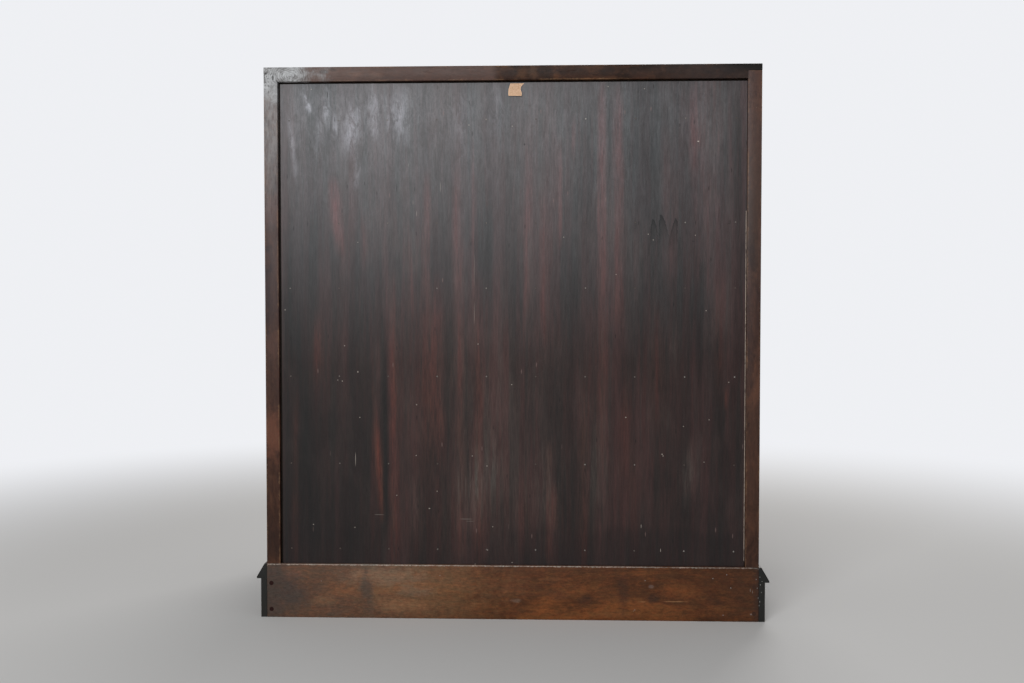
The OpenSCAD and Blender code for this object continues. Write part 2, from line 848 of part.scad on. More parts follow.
module drawer_box(d) {
    inside = half_w(d) - side_wall(d);
    difference() {
        translate([mid_x(d), 0, 0]) both_hands() along_x(inside, half_w(d)) {
            translate([face_y(d) + face_t(d) + glue, low_z(d)])
                square([rear_y(d) - face_y(d) - face_t(d) - glue, high_z(d) - low_z(d)]);
            tail_row(d, 0);
        }
        drawer_floor(d, glue, cut);
    }
    drawer_floor(d, 0, 0);
    block([mid_x(d) - inside + glue, rear_y(d) - side_wall(d), floor_low(d) + floor_of(d) + glue],
          [mid_x(d) + inside - glue, rear_y(d), high_z(d) - min(back_down, (high_z(d) - low_z(d)) / 4)]);
}

// Handles: two posts with a rosette, a stud and a nut each, and the bail between them
module at_posts(d) {
    for (x = [-handle_x, handle_x], side = [-post_pitch / 2, post_pitch / 2])
        translate([mid_x(d) + x + side, face_y(d), pivot_z(d)]) rotate([90, 0, 0]) children();
}
module post() {
    stud_len = front_t + stud_r * 3;
    difference() {
        union() {
            rotate_extrude() polygon([
                [0, 0], [rosette_r, 0], [rosette_r, rosette_t], [rosette_r * 0.75, rosette_t * 1.6],
                [rosette_r * 0.7, rosette_t * 1.3], [stem_r * 1.7, rosette_t * 2.6], [stem_r, rosette_t * 4],
                [stem_r, pivot_out], [0, pivot_out]
            ]);
            translate([0, 0, pivot_out]) sphere(head_r);
            translate([0, 0, -stud_len]) cylinder(h = stud_len + rosette_t, r = stud_r);
        }
        translate([0, 0, pivot_out]) rod_x(-head_r - cut, head_r + cut, pivot_r + turn);
    }
}
module nut() {
    translate([0, 0, -front_t - glue - stud_r * 1.8]) difference() {
        cylinder(h = stud_r * 1.8, r = stud_r * 2.2, $fn = 6);
        translate([0, 0, -cut]) cylinder(h = stud_r * 1.8 + 2 * cut, r = stud_r + turn);
    }
}
module long_front(i) {
    d = long_drawer(i);
    color(dark) difference() {
        drawer_face(d);
        at_posts(d) translate([0, 0, -front_t - cut]) cylinder(h = front_t + 2 * cut, r = stud_r + turn);
    }
}
module long_box(i) {
    color(pale) drawer_box(long_drawer(i));
}
module long_posts(i) {
    color("goldenrod") at_posts(long_drawer(i)) {
        post();
        nut();
    }
}
module bail(i, hand) {
    d = long_drawer(i);
    arm_x = post_pitch / 2 + head_r + bail_r + slide;
    low = bail_drop - bail_bend;
    color("goldenrod") translate([hand * handle_x, front_y - pivot_out, pivot_z(d)]) {
        both_hands() {
            rod_x(post_pitch / 2 - head_r / 2, arm_x, pivot_r);
            translate([arm_x, 0, 0]) sphere(bail_r);
            translate([arm_x, 0, -low]) cylinder(h = low, r = bail_r);
            translate([arm_x - bail_bend, 0, -low]) rotate([-90, 0, 0])
                rotate_extrude(angle = 90) translate([bail_bend, 0]) circle(bail_r);
        }
        translate([0, 0, -bail_drop]) rod_x(-arm_x + bail_bend, arm_x - bail_bend, bail_r);
    }
}
module small_drawer_solid(hand) {
    d = small_drawer(hand);
    z = (low_z(d) + high_z(d)) / 2;
    color(dark) difference() {
        drawer_face(d);
        translate([mid_x(d), gallery_y - cut, z])
            cylinder_y(small_knob_len / 2 + cut + glue, small_knob_r / 3 + turn);
    }
    color(pale) drawer_box(d);
    color(darker) translate([mid_x(d), gallery_y - glue, z]) turned_knob(small_knob_r, small_knob_len);
}
module drawer_1_front() {
    long_front(0);
}
module drawer_1_box() {
    long_box(0);
}
module drawer_1_posts() {
    long_posts(0);
}
module bail_1_left() {
    bail(0, LEFT);
}
module bail_1_right() {
    bail(0, RIGHT);
}
module drawer_2_front() {
    long_front(1);
}
module drawer_2_box() {
    long_box(1);
}
module drawer_2_posts() {
    long_posts(1);
}
module bail_2_left() {
    bail(1, LEFT);
}
module bail_2_right() {
    bail(1, RIGHT);
}
module drawer_3_front() {
    long_front(2);
}
module drawer_3_box() {
    long_box(2);
}
module drawer_3_posts() {
    long_posts(2);
}
module bail_3_left() {
    bail(2, LEFT);
}
module bail_3_right() {
    bail(2, RIGHT);
}
module drawer_4_front() {
    long_front(3);
}
module drawer_4_box() {
    long_box(3);
}
module drawer_4_posts() {
    long_posts(3);
}
module bail_4_left() {
    bail(3, LEFT);
}
module bail_4_right() {
    bail(3, RIGHT);
}
module small_drawer_left() {
    small_drawer_solid(LEFT);
}
module small_drawer_right() {
    small_drawer_solid(RIGHT);
}

side_left();
side_right();
top_board();
bottom_board();
back_panel();
back_brads();
desk_bed();
divider_upper();
divider_middle();
divider_lower();
top_drawer_frame();
plinth_front_rail();
plinth_front();
plinth_left();
plinth_right();
plinth_back();
moulding_front();
moulding_left();
moulding_right();
glue_blocks();
gallery_shelf();
gallery_uprights();
gallery_drawer_tops();
flap_stop();
hinge_bed_leaves();
hinge_pins();
lock_strike();
flap_board();
flap_end_left();
flap_end_right();
hinge_flap_leaves();
flap_lock();
flap_escutcheon();
flap_key();
flap_lock_bolt();
loper_left();
loper_right();
drawer_1_front();
drawer_1_box();
drawer_1_posts();
bail_1_left();
bail_1_right();
drawer_2_front();
drawer_2_box();
drawer_2_posts();
bail_2_left();
bail_2_right();
drawer_3_front();
drawer_3_box();
drawer_3_posts();
bail_3_left();
bail_3_right();
drawer_4_front();
drawer_4_box();
drawer_4_posts();
bail_4_left();
bail_4_right();
small_drawer_left();
small_drawer_right();
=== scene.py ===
"""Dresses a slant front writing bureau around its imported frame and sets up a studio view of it."""

from __future__ import annotations

import json
import logging
import math
import random
from collections.abc import Callable, Iterable, Sequence
from dataclasses import dataclass, field
from enum import Enum
from typing import Any, ClassVar, TypeVar

import bmesh
import bpy
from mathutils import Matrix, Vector, noise

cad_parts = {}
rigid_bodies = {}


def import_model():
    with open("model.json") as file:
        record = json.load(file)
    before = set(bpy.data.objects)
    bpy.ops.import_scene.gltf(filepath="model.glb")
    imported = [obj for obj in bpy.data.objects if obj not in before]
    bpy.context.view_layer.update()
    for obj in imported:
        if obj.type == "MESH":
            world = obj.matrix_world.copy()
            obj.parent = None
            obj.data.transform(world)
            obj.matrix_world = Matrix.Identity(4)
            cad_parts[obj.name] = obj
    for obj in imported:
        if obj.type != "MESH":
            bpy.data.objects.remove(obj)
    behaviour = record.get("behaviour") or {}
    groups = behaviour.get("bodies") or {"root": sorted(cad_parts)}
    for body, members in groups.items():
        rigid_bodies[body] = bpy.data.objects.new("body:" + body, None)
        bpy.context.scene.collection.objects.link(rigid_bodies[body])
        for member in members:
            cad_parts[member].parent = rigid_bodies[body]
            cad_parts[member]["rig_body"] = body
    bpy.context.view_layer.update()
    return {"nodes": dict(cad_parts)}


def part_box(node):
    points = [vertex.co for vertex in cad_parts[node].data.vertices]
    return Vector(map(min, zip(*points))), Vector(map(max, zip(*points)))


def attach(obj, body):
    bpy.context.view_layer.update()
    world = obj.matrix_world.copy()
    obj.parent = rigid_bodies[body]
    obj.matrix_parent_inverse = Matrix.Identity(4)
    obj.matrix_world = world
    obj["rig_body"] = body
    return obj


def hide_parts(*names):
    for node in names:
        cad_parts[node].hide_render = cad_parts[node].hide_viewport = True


log = logging.getLogger("bureau")

MM = 0.001
SLOPE = math.radians(40)
SIDES = ("left", "right")
DRAWERS = (1, 2, 3, 4)

# depths in metres from which a surface is the back sheet's outer face, or a rear edge of the case
SHEET_FACE = 0.228
REAR_FACE = 0.2355

Triple = tuple[float, float, float]
Colour = Triple
Mark = TypeVar("Mark")

STUDIO_WHITE: Colour = (0.86, 0.87, 0.9)


class Grain(Enum):
    """The way the grain of a board runs."""

    ACROSS = "along the width of the bureau"
    DEPTH = "from front to back"
    UPRIGHT = "up and down"
    LONGEST = "along each solid's longest side"


class Wood(Enum):
    """The kinds of wooden surface on the bureau, by the name of their finish."""

    CASE = "case_wood"
    TOP = "top_wood"
    PLUG = "plug_wood"
    PLINTH = "plinth_wood"
    FACING = "facing_wood"
    DARK = "dark_edge_wood"
    FRONT = "front_wood"
    PALE = "inside_wood"


def rgba(colour: Colour) -> tuple[float, float, float, float]:
    """Gives a colour with full alpha."""
    return (*colour, 1.0)


def dimmed(colour: Colour, share: float) -> Colour:
    """Gives a colour at a share of its strength."""
    return tuple(share * c for c in colour)


def listed(kind: Callable[..., Mark], *table: tuple[Any, ...]) -> tuple[Mark, ...]:
    """Gives one mark for each row of its values."""
    return tuple(kind(*row) for row in table)


def ramp(value: float, start: float, end: float) -> float:
    """Goes from 0 to 1 as a value goes from start to end."""
    return max(0.0, min(1.0, (value - start) / (end - start)))


# node trees


class Signal:
    """One output in a node tree, which sums like a number or a vector.

    Args:
        graph: The tree.
        socket: The output.
    """

    def __init__(self, graph: Graph, socket: bpy.types.NodeSocket) -> None:
        """Holds the output."""
        self.graph = graph
        self.socket = socket

    def is_vector(self) -> bool:
        """Tells whether the signal is a vector."""
        return self.socket.type == "VECTOR"

    def apply(self, operation: str, other: Value | None = None, flipped: bool = False) -> Signal:
        """Works out one sum, of vectors if either value is one.

        Args:
            operation: The math node's operation.
            other: The second value, if the operation has one.
            flipped: Whether the second value comes first.

        Returns:
            The result.
        """
        values = [self] if other is None else [self, other]
        vector = any(v.is_vector() if isinstance(v, Signal) else isinstance(v, tuple) for v in values)
        if flipped:
            values.reverse()
        kind = "VectorMath" if vector else "Math"
        return self.graph.add(kind, dict(enumerate(values)), operation=operation)

    def __add__(self, other: Value) -> Signal:
        """Adds a value."""
        return self.apply("ADD", other)

    def __radd__(self, other: float) -> Signal:
        """Adds this to a number."""
        return self.apply("ADD", other, flipped=True)

    def __sub__(self, other: Value) -> Signal:
        """Takes a value away."""
        return self.apply("SUBTRACT", other)

    def __rsub__(self, other: float) -> Signal:
        """Takes this away from a number."""
        return self.apply("SUBTRACT", other, flipped=True)

    def __mul__(self, other: Value) -> Signal:
        """Multiplies by a value."""
        return self.apply("MULTIPLY", other)

    def __truediv__(self, other: Value) -> Signal:
        """Divides by a value."""
        return self.apply("DIVIDE", other)

    def __gt__(self, other: Value) -> Signal:
        """Gives 1 where this is more than a value."""
        return self.apply("GREATER_THAN", other)

    def __lt__(self, other: Value) -> Signal:
        """Gives 1 where this is less than a value."""
        return self.apply("LESS_THAN", other)

    def __abs__(self) -> Signal:
        """Drops the sign."""
        return self.apply("ABSOLUTE")

    def at_least(self, other: Value) -> Signal:
        """Gives the higher of two values."""
        return self.apply("MAXIMUM", other)

    def at_most(self, other: Value) -> Signal:
        """Gives the lower of two values."""
        return self.apply("MINIMUM", other)

    def clamped(self) -> Signal:
        """Keeps the result of the last sum between 0 and 1."""
        self.socket.node.use_clamp = True
        return self

    def length(self) -> Signal:
        """Gives the length of a vector."""
        return self.graph.add("VectorMath", {0: self}, output="Value", operation="LENGTH")

    def dot(self, other: Value) -> Signal:
        """Gives how far a vector goes along another."""
        return self.graph.add("VectorMath", {0: self, 1: other}, output="Value", operation="DOT_PRODUCT")

    def parts(self) -> tuple[Signal, ...]:
        """Gives the three parts of a vector."""
        return tuple(Signal(self.graph, part) for part in self.graph.node("SeparateXYZ", {0: self}).outputs)

    @property
    def x(self) -> Signal:
        """The first part of a vector."""
        return self.parts()[0]

    @property
    def y(self) -> Signal:
        """The second part of a vector."""
        return self.parts()[1]

    @property
    def z(self) -> Signal:
        """The third part of a vector."""
        return self.parts()[2]


Value = Signal | float | str | tuple[float, ...]


class Graph:
    """Builds the node tree of one material.

    Args:
        name: The material's name.
    """

    def __init__(self, name: str) -> None:
        """Starts an empty tree."""
        self.material = bpy.data.materials.new(name)
        self.material.use_nodes = True
        self.tree = self.material.node_tree
        self.tree.nodes.clear()

    def node(self, kind: str, inputs: dict[Any, Value] | None = None, **settings: Any) -> bpy.types.Node:
        """Adds a node.

        Args:
            kind: The node's type without its "ShaderNode" prefix.
            inputs: Values or signals for the node's inputs, by name or place.
            settings: The node's own properties.

        Returns:
            The new node.
        """
        node = self.tree.nodes.new("ShaderNode" + kind)
        for key, value in settings.items():
            setattr(node, key, value)
        for key, value in (inputs or {}).items():
            if isinstance(value, Signal):
                self.tree.links.new(value.socket, node.inputs[key])
            else:
                node.inputs[key].default_value = value
        return node

    def add(self, kind: str, inputs: dict[Any, Value] | None = None, output: str | int = 0,
            **settings: Any) -> Signal:
        """Adds a node and gives one of its outputs, by name or place."""
        return Signal(self, self.node(kind, inputs, **settings).outputs[output])

    def here(self) -> Signal:
        """Gives the place in the bureau's own frame, in metres."""
        return self.add("TexCoord", output="Object")

    def attribute(self, name: str, output: str = "Fac") -> Signal:
        """Reads one of the piece's own mesh attributes."""
        return self.add("Attribute", output=output, attribute_name=name)

    def grey(self, level: Signal) -> Signal:
        """Gives a grey of that level."""
        return self.add("CombineXYZ", {0: level, 1: level, 2: level})

    def cells(self, where: Signal, scale: float, dimensions: str) -> tuple[Signal, Signal]:
        """Scatters cells.

        Args:
            where: Where the cells are read.
            scale: Their number per metre.
            dimensions: "2D" or "3D".

        Returns:
            The distance to the middle of the nearest cell, and that cell's own random colour.
        """
        node = self.node("TexVoronoi", {"Vector": where, "Scale": scale}, voronoi_dimensions=dimensions)
        return Signal(self, node.outputs["Distance"]), Signal(self, node.outputs["Color"])

    def noise(self, where: Signal, scale: float, detail: float = 2.0, rough: float = 0.5,
              twist: float = 0.0) -> Signal:
        """Adds smooth noise.

        Args:
            where: Where the noise is read.
            scale: Its waves per metre.
            detail: Its number of finer layers.
            rough: The strength of the finer layers.
            twist: Its distortion.

        Returns:
            A value about 0.5.
        """
        inputs = {"Vector": where, "Scale": scale, "Detail": detail, "Roughness": rough, "Distortion": twist}
        return self.add("TexNoise", inputs)

    def step(self, value: Signal, low: float, high: float, start: float = 0.0, end: float = 1.0) -> Signal:
        """Eases from start to end as value goes from low to high.

        Args:
            value: The value that is followed.
            low: Where the change starts.
            high: Where the change ends.
            start: The result up to low.
            end: The result from high on.

        Returns:
            The eased value.
        """
        inputs = {"Value": value, "From Min": low, "From Max": high, "To Min": start, "To Max": end}
        return self.add("MapRange", inputs, interpolation_type="SMOOTHSTEP")

    def mix(self, factor: Value, a: Value, b: Value, blend: str = "MIX") -> Signal:
        """Mixes two colours.

        Args:
            factor: The share of b.
            a: The first colour.
            b: The second colour.
            blend: The way of mixing.

        Returns:
            The mixed colour.
        """
        a, b = (rgba(c) if isinstance(c, tuple) else c for c in (a, b))
        return self.add("Mix", {0: factor, 6: a, 7: b}, output=2, data_type="RGBA", blend_type=blend)

    def bump(self, height: Signal, depth: float, normal: Signal | None = None) -> Signal:
        """Raises the surface a little.

        Args:
            height: The height, from 0 to 1.
            depth: The height's full depth in metres.
            normal: The normal that it adds to.

        Returns:
            The new normal.
        """
        inputs: dict[Any, Value] = {"Strength": 1.0, "Distance": depth, "Height": height}
        if normal is not None:
            inputs["Normal"] = normal
        return self.add("Bump", inputs)

    def surface(self, **inputs: Value) -> bpy.types.Material:
        """Ends the tree in a principled shader.

        Args:
            inputs: The shader's inputs, with _ for spaces.

        Returns:
            The finished material.
        """
        named = {key.replace("_", " "): value for key, value in inputs.items()}
        self.node("OutputMaterial", {0: self.add("BsdfPrincipled", named)})
        return self.material


@dataclass(frozen=True)
class Board:
    """What a shader knows about its place on a board: metres along, across and through it."""

    place: Signal
    half: Signal
    spot: Signal
    arris: Signal

    END_SKIN: ClassVar[float] = 0.4 * MM
    # Painted shade behind the back sheet: its depths, its reach and its near-black colour.
    RUN: ClassVar[Triple] = (0.2212, 0.2246, 0.22575)
    RUN_SIDE: ClassVar[float] = 0.447
    RUN_TOP: ClassVar[float] = 1.004
    RUN_COLOUR: ClassVar[Colour] = (0.0015, 0.0012, 0.0012)

    @classmethod
    def read(cls, g: Graph) -> Board:
        """Reads the attributes that JoinerMesh writes.

        Args:
            g: The tree that reads them.

        Returns:
            The place on the board.
        """
        place = g.attribute("place", "Vector")
        half = g.attribute("half", "Vector")
        spot = place + g.attribute("seed", "Vector")
        return cls(place, half, spot, g.attribute("arris"))

    def grain(self, along: float) -> Signal:
        """Gives the place with its length shrunk, so that patterns stretch along the grain."""
        return self.spot * (along, 1.0, 1.0)

    @staticmethod
    def ring(along: Signal, warp: Signal, bend: float) -> Signal:
        """Gives the distance from the middle of the year rings.

        Args:
            along: The place with its length shrunk.
            warp: The noise that bends the rings.
            bend: How far they are bent.

        Returns:
            The distance in metres.
        """
        _, across, through = along.parts()
        bent = across + warp * bend
        return (bent * bent + through * through).apply("SQRT")

    def to_edge(self) -> Signal:
        """Gives the distance to the board's nearest edge, the middle one of its three distances."""
        a, b, c = (self.half - abs(self.place)).parts()
        return a.at_most(b).at_least(a.at_least(b).at_most(c))

    def end_grain(self) -> Signal:
        """Gives 1 on the board's two ends."""
        return abs(self.place.x) > self.half.x - self.END_SKIN

    @classmethod
    def run_through(cls, g: Graph, colour: Signal, rough: Signal) -> tuple[Signal, Signal]:
        """Darkens and dulls the wood right behind the back sheet as painted shade, so that the gaps around
        the sheet read black.

        Args:
            g: The tree.
            colour: The colour of the wood.
            rough: Its roughness.

        Returns:
            The new colour and roughness.
        """
        side, depth, height = g.here().parts()
        low, full, end = cls.RUN
        band = g.step(depth, low, full) * (depth < end)
        band = band * ((abs(side) < cls.RUN_SIDE) * (height < cls.RUN_TOP))
        return g.mix(band, colour, cls.RUN_COLOUR), rough.at_least(band)


# finishes


@dataclass(frozen=True)
class Gradient:
    """A gradient towards another colour, which grows along one direction from low to high, in metres; on the
    case, top and plinth it is painted light and shade.
    """

    along: Triple
    low: float
    high: float
    share: float
    colour: Colour = (0.3, 0.3, 0.32)
    torn: float = 0.0
    back_only: bool = False

    def over(self, g: Graph, colour: Signal) -> Signal:
        """Lays the gradient over a colour.

        Args:
            g: The tree.
            colour: The colour under the gradient.

        Returns:
            The new colour.
        """
        where = g.here()
        share = g.step(where.dot(self.along), self.low, self.high, 0.0, self.share)
        if self.torn:
            ragged = g.noise(where * (1.0, 1.0, 0.25), 230.0, 4.0, 0.68)
            share = share * g.step(ragged, 0.36, 0.62, 1.0 - self.torn, 1.0)
        if self.back_only:
            share = share * g.step(where.y, SHEET_FACE, REAR_FACE)
        return g.mix(share, colour, self.colour)


@dataclass(frozen=True)
class Oval:
    """An oval place on the back, in millimetres, with its half width and half height."""

    x: float
    z: float
    wide: float
    tall: float

    def away(self, where: Signal) -> Signal:
        """Gives the distance from the oval's middle, where 1 is its rim."""
        off = where - (self.x * MM, 0.0, self.z * MM)
        return (off * (1 / (self.wide * MM), 0.0, 1 / (self.tall * MM))).length()


@dataclass(frozen=True)
class Cloud(Oval):
    """One cloudy patch of another colour."""

    share: float
    colour: Colour = (0.036, 0.0132, 0.0057)

    SHOWN_FROM: ClassVar[float] = 0.215
    FULL_FROM: ClassVar[float] = 0.234
    RAGGED: ClassVar[float] = 1.7
    RIM: ClassVar[tuple[float, float]] = (0.3, 1.3)

    @classmethod
    def lay(cls, g: Graph, colour: Signal, clouds: Sequence[Cloud]) -> Signal:
        """Lays patches with ragged rims.

        Args:
            g: The tree.
            colour: The colour under them.
            clouds: The patches.

        Returns:
            The new colour.
        """
        where = g.here()
        ragged = (g.noise(where, 70.0, 5.0, 0.65) - 0.5) * cls.RAGGED
        behind = g.step(where.y, cls.SHOWN_FROM, cls.FULL_FROM)
        for cloud in clouds:
            near = g.step(cloud.away(where) + ragged, *cls.RIM, cloud.share, 0.0)
            colour = g.mix(near * behind, colour, cloud.colour)
        return colour


@dataclass(frozen=True)
class Nick(Oval):
    """One small scratch, chip or crack."""

    share: float = 0.7

    RIM: ClassVar[tuple[float, float]] = (0.6, 1.3)

    @classmethod
    def lay(cls, g: Graph, colour: Signal, nicks: Sequence[Nick], tint: Colour, behind: float) -> Signal:
        """Lays scratches, chips and cracks on the back.

        Args:
            g: The tree.
            colour: The colour under them.
            nicks: The scratches, chips and cracks.
            tint: Their colour.
            behind: The depth from which they show, in metres.

        Returns:
            The new colour.
        """
        where = g.here()
        share = sum((g.step(nick.away(where), *cls.RIM, nick.share, 0.0) for nick in nicks), start=0.0)
        return g.mix((share * (where.y > behind)).clamped(), colour, tint)


@dataclass(frozen=True)
class Tongue:
    """One tongue of a dark water mark, in millimetres, crisp at its tip and fading as it goes down."""

    x: float
    z: float
    half: float
    tall: float
    lean: float = 0.0

    def over(self, g: Graph, colour: Signal, dark: Colour) -> Signal:
        """Lays the tongue over a colour.

        Args:
            g: The tree.
            colour: The colour under it.
            dark: The colour of the wet stain.

        Returns:
            The new colour.
        """
        where = g.here() - (self.x * MM, 0.0, self.z * MM)
        side, _, rise = where.parts()
        drop = rise / (-self.tall * MM)
        wave = (g.noise(where, 160.0, 2.0) - 0.5) * 0.7
        off = side / (self.half * MM) + drop * (self.lean / self.half) + wave
        inside = drop - off * off
        rim = g.step(inside, 0.02, 0.3, 1.0, 0.5)
        share = g.step(inside, 0.0, 0.05) * rim * g.step(drop, 0.3, 1.2, 0.84, 0.0)
        return g.mix(share, colour, dark)


@dataclass(frozen=True)
class StainedWood:
    """Stained and varnished solid wood, mottled with age and rubbed at its edges; some finishes also carry
    painted sheen, painted shade and a painted highlight.
    """

    name: str
    deep: Colour
    body: Colour
    warm: Colour
    bare: Colour = (0.25, 0.14, 0.075)
    wear: float = 0.5
    worn_from: float = 0.42
    worn_above: float = 0.0
    worn_before: float = 1.0
    reach: float = 3.0 * MM
    cut: float = 0.5
    end: Colour = (0.012, 0.0065, 0.0045)
    mottle: float = 0.0
    grit: float = 0.3
    blotchy: float = 0.75
    patches: float = 0.5
    figure: float = 0.5
    rough: float = 0.42
    gloss: float = 0.3
    ripple: float = 0.5
    dust: float = 0.06
    # Strength of the painted highlight, the window's reflection, near the top corner on the +X side.
    bloom: float = 0.0
    clouds: tuple[Cloud, ...] = ()
    veils: tuple[Gradient, ...] = ()
    nicks: tuple[Nick, ...] = ()
    dents: tuple[Nick, ...] = ()

    NICK: ClassVar[Colour] = (0.4, 0.38, 0.36)
    DENT: ClassVar[Colour] = (0.035, 0.032, 0.031)
    CHIP: ClassVar[Colour] = (0.42, 0.34, 0.27)
    DUST: ClassVar[Colour] = (0.55, 0.52, 0.48)
    # Where the painted highlight sits, and its grey, white and dark colours.
    BLOOM_AT: ClassVar[Triple] = (0.45, 0.235, 1.0)
    ARCS_AT: ClassVar[Triple] = (0.402, 0.0, 0.991)
    BLOOM_COLOURS: ClassVar[tuple[Colour, ...]] = (
        (0.1, 0.097, 0.095), (0.5, 0.5, 0.505), (0.05, 0.047, 0.045),
    )

    def figured(self, g: Graph, board: Board) -> tuple[Signal, Signal]:
        """Draws year rings, streaks, blotches, pores and clouds.

        Args:
            g: The tree.
            board: The place on the board.

        Returns:
            The colour, and 1 in the pores.
        """
        along = board.grain(0.06)
        warp = g.noise(board.grain(0.25), 6.0, 4.0, 0.55)
        rings = g.noise(g.add("CombineXYZ", {0: board.ring(along, warp, 0.11)}), 190.0, 3.0, 0.6)
        figure = rings * 0.45 + g.noise(along, 120.0, 4.0, 0.65) * 0.55
        low, high = 0.5 - 0.35 * self.figure, 0.55 + 0.3 * (1 - self.figure)
        colour = g.mix(g.step(figure, low, high), self.deep, self.body)
        blotch = g.noise(board.grain(0.35), 11.0, 4.0, 0.6, 0.6)
        colour = g.mix(g.step(blotch, 0.5, 0.66) * self.blotchy, colour, self.warm)
        shade = g.noise(board.grain(0.5), 17.0, 5.0, 0.62, 0.9)
        colour = g.mix(g.step(shade, 0.53, 0.68) * self.patches, colour, dimmed(self.deep, 0.28))
        pore = g.step(g.noise(board.grain(0.035), 900.0, 2.0, 0.7), 0.6, 0.7)
        colour = g.mix(pore * 0.45, colour, dimmed(self.deep, 0.3))
        if self.mottle:
            cells = g.noise(board.grain(0.6), 120.0, 5.0, 0.72, 0.3)
            colour = g.mix(g.step(cells, 0.46, 0.64, 0.0, self.mottle), colour, dimmed(self.deep, 0.7))
            colour = g.mix(g.step(cells, 0.34, 0.48, 0.8 * self.mottle, 0.0), colour, self.warm)
        return Cloud.lay(g, colour, self.clouds), pore

    def rubbed(self, g: Graph, board: Board) -> Signal:
        """Finds where hands and knocks have taken the finish off edges and arrises; on the plinth's top edge
        this pale wear is also a painted highlight.

        Args:
            g: The tree.
            board: The place on the board.

        Returns:
            The share of the finish that is gone.
        """
        ragged = g.noise(board.spot, 220.0, 3.0, 0.65)
        edge = board.to_edge() + (ragged - 0.5) * (self.reach * 2.4)
        lost = g.step(g.noise(board.spot, 24.0, 4.0, 0.65), self.worn_from, self.worn_from + 0.2)
        # Above this height the pale rubbed edge also stands as a painted highlight of the lit top edge.
        if self.worn_above:
            lost = lost * (g.here().z > self.worn_above)
        if self.worn_before < 1.0:
            lost = lost * (g.here().y < self.worn_before)
        return g.step(edge, 0.0, self.reach, 1.0, 0.0).at_least(board.arris) * (lost * self.wear)

    def bloomed(self, g: Graph, colour: Signal) -> Signal:
        """Paints a grey highlight, the window's reflection, over the varnish near one corner, with fine arcs
        and dark flecks in it.

        Args:
            g: The tree.
            colour: The colour under the painted highlight.

        Returns:
            The new colour.
        """
        where = g.here()
        soft, white, dark = self.BLOOM_COLOURS
        far = ((where - self.BLOOM_AT) * (0.85, 4.0, 1.5)).length()
        near = g.step(far + g.noise(where, 26.0, 4.0, 0.65) * 0.16, 0.122, 0.192, 1.0, 0.0)
        colour = g.mix(near * 0.85, colour, soft)
        out = ((where - self.ARCS_AT) * (0.75, 0.0, 1.0)).length() + g.noise(where, 60.0, 3.0, 0.6) * 0.012
        arcs = g.step((out * 2000.0).apply("SINE"), -1.0, 0.6, 0.0, 0.32) * g.step(where.z, 0.975, 0.98)
        patch = g.step(g.noise(where, 75.0, 5.0, 0.7, 0.8), 0.36, 0.6, 0.4, 1.05)
        colour = g.mix(near * (patch - arcs) * self.bloom, colour, white)
        outward = g.step(where.x, 0.425, 0.448, 0.25, 1.0)
        fleck = g.step(g.noise(where, 330.0, 3.0, 0.6), 0.55, 0.64) * outward
        return g.mix(near * (fleck * 0.8), colour, dark)

    def gritty(self, g: Graph, board: Board, colour: Signal) -> Signal:
        """Adds fine uneven flecks that run with the grain.

        Args:
            g: The tree.
            board: The place on the board.
            colour: The colour under the flecks.

        Returns:
            The new colour.
        """
        level = 1.0 - 0.5 * self.grit + g.noise(board.grain(0.4), 300.0, 4.0, 0.72) * self.grit
        hue = g.step(g.noise(board.grain(0.4), 170.0, 3.0, 0.6), 0.36, 0.64)
        tint = g.mix(hue, (1.0 - 0.05 * self.grit, 1.0, 1.0), (1.0 + 0.05 * self.grit, 0.995, 0.96))
        return g.mix(1.0, g.mix(1.0, colour, g.grey(level), "MULTIPLY"), tint, "MULTIPLY")

    def aged(self, g: Graph, board: Board, colour: Signal) -> Signal:
        """Lays chips, dust, gradients (painted sheen and shade on some finishes), flecks, nicks and a painted
        highlight over the wood.

        Args:
            g: The tree.
            board: The place on the board.
            colour: The colour of the wood.

        Returns:
            The new colour.
        """
        distance, _ = g.cells(board.spot, 26.0, "3D")
        colour = g.mix(g.step(distance, 0.012, 0.03, 0.4, 0.0), colour, self.CHIP)
        up = g.add("NewGeometry", output="Normal").z
        film = g.step(up, 0.5, 0.95) * g.step(g.noise(board.spot, 14.0, 4.0), 0.25, 0.8)
        colour = g.mix(film * self.dust, colour, self.DUST)
        # Gradients: painted sheen and shade on the case, top and plinth, and real tone on the plugs.
        for gradient in self.veils:
            colour = gradient.over(g, colour)
        colour = self.gritty(g, board, colour)
        if self.nicks:
            colour = Nick.lay(g, colour, self.nicks, self.NICK, REAR_FACE)
        # Painted highlight: the window's reflection near the top corner on the +X side.
        if self.bloom:
            colour = self.bloomed(g, colour)
        if self.dents:
            colour = Nick.lay(g, colour, self.dents, self.DENT, REAR_FACE)
        return colour

    def material(self) -> bpy.types.Material:
        """Builds the material."""
        g = Graph(self.name)
        board = Board.read(g)
        colour, pore = self.figured(g, board)
        colour = g.mix(board.end_grain() * self.cut, colour, self.end)
        rubbed = self.rubbed(g, board)
        colour = self.aged(g, board, g.mix(rubbed, colour, self.bare))
        rough = self.rough - 0.14 + g.noise(board.grain(0.5), 40.0, 4.0, 0.6, 0.5) * 0.28
        rough = (rough + rubbed.at_least(pore) * 0.15).clamped()
        # Painted shade on the wood behind the back sheet.
        colour, rough = board.run_through(g, colour, rough)
        normal = g.bump(1.0 - pore, 0.06 * MM)
        normal = g.bump(g.noise(board.spot, 150.0, 3.0, 0.55), 0.35 * MM * self.ripple, normal)
        return g.surface(Base_Color=colour, Roughness=rough, Normal=normal, Specular_IOR_Level=self.gloss)


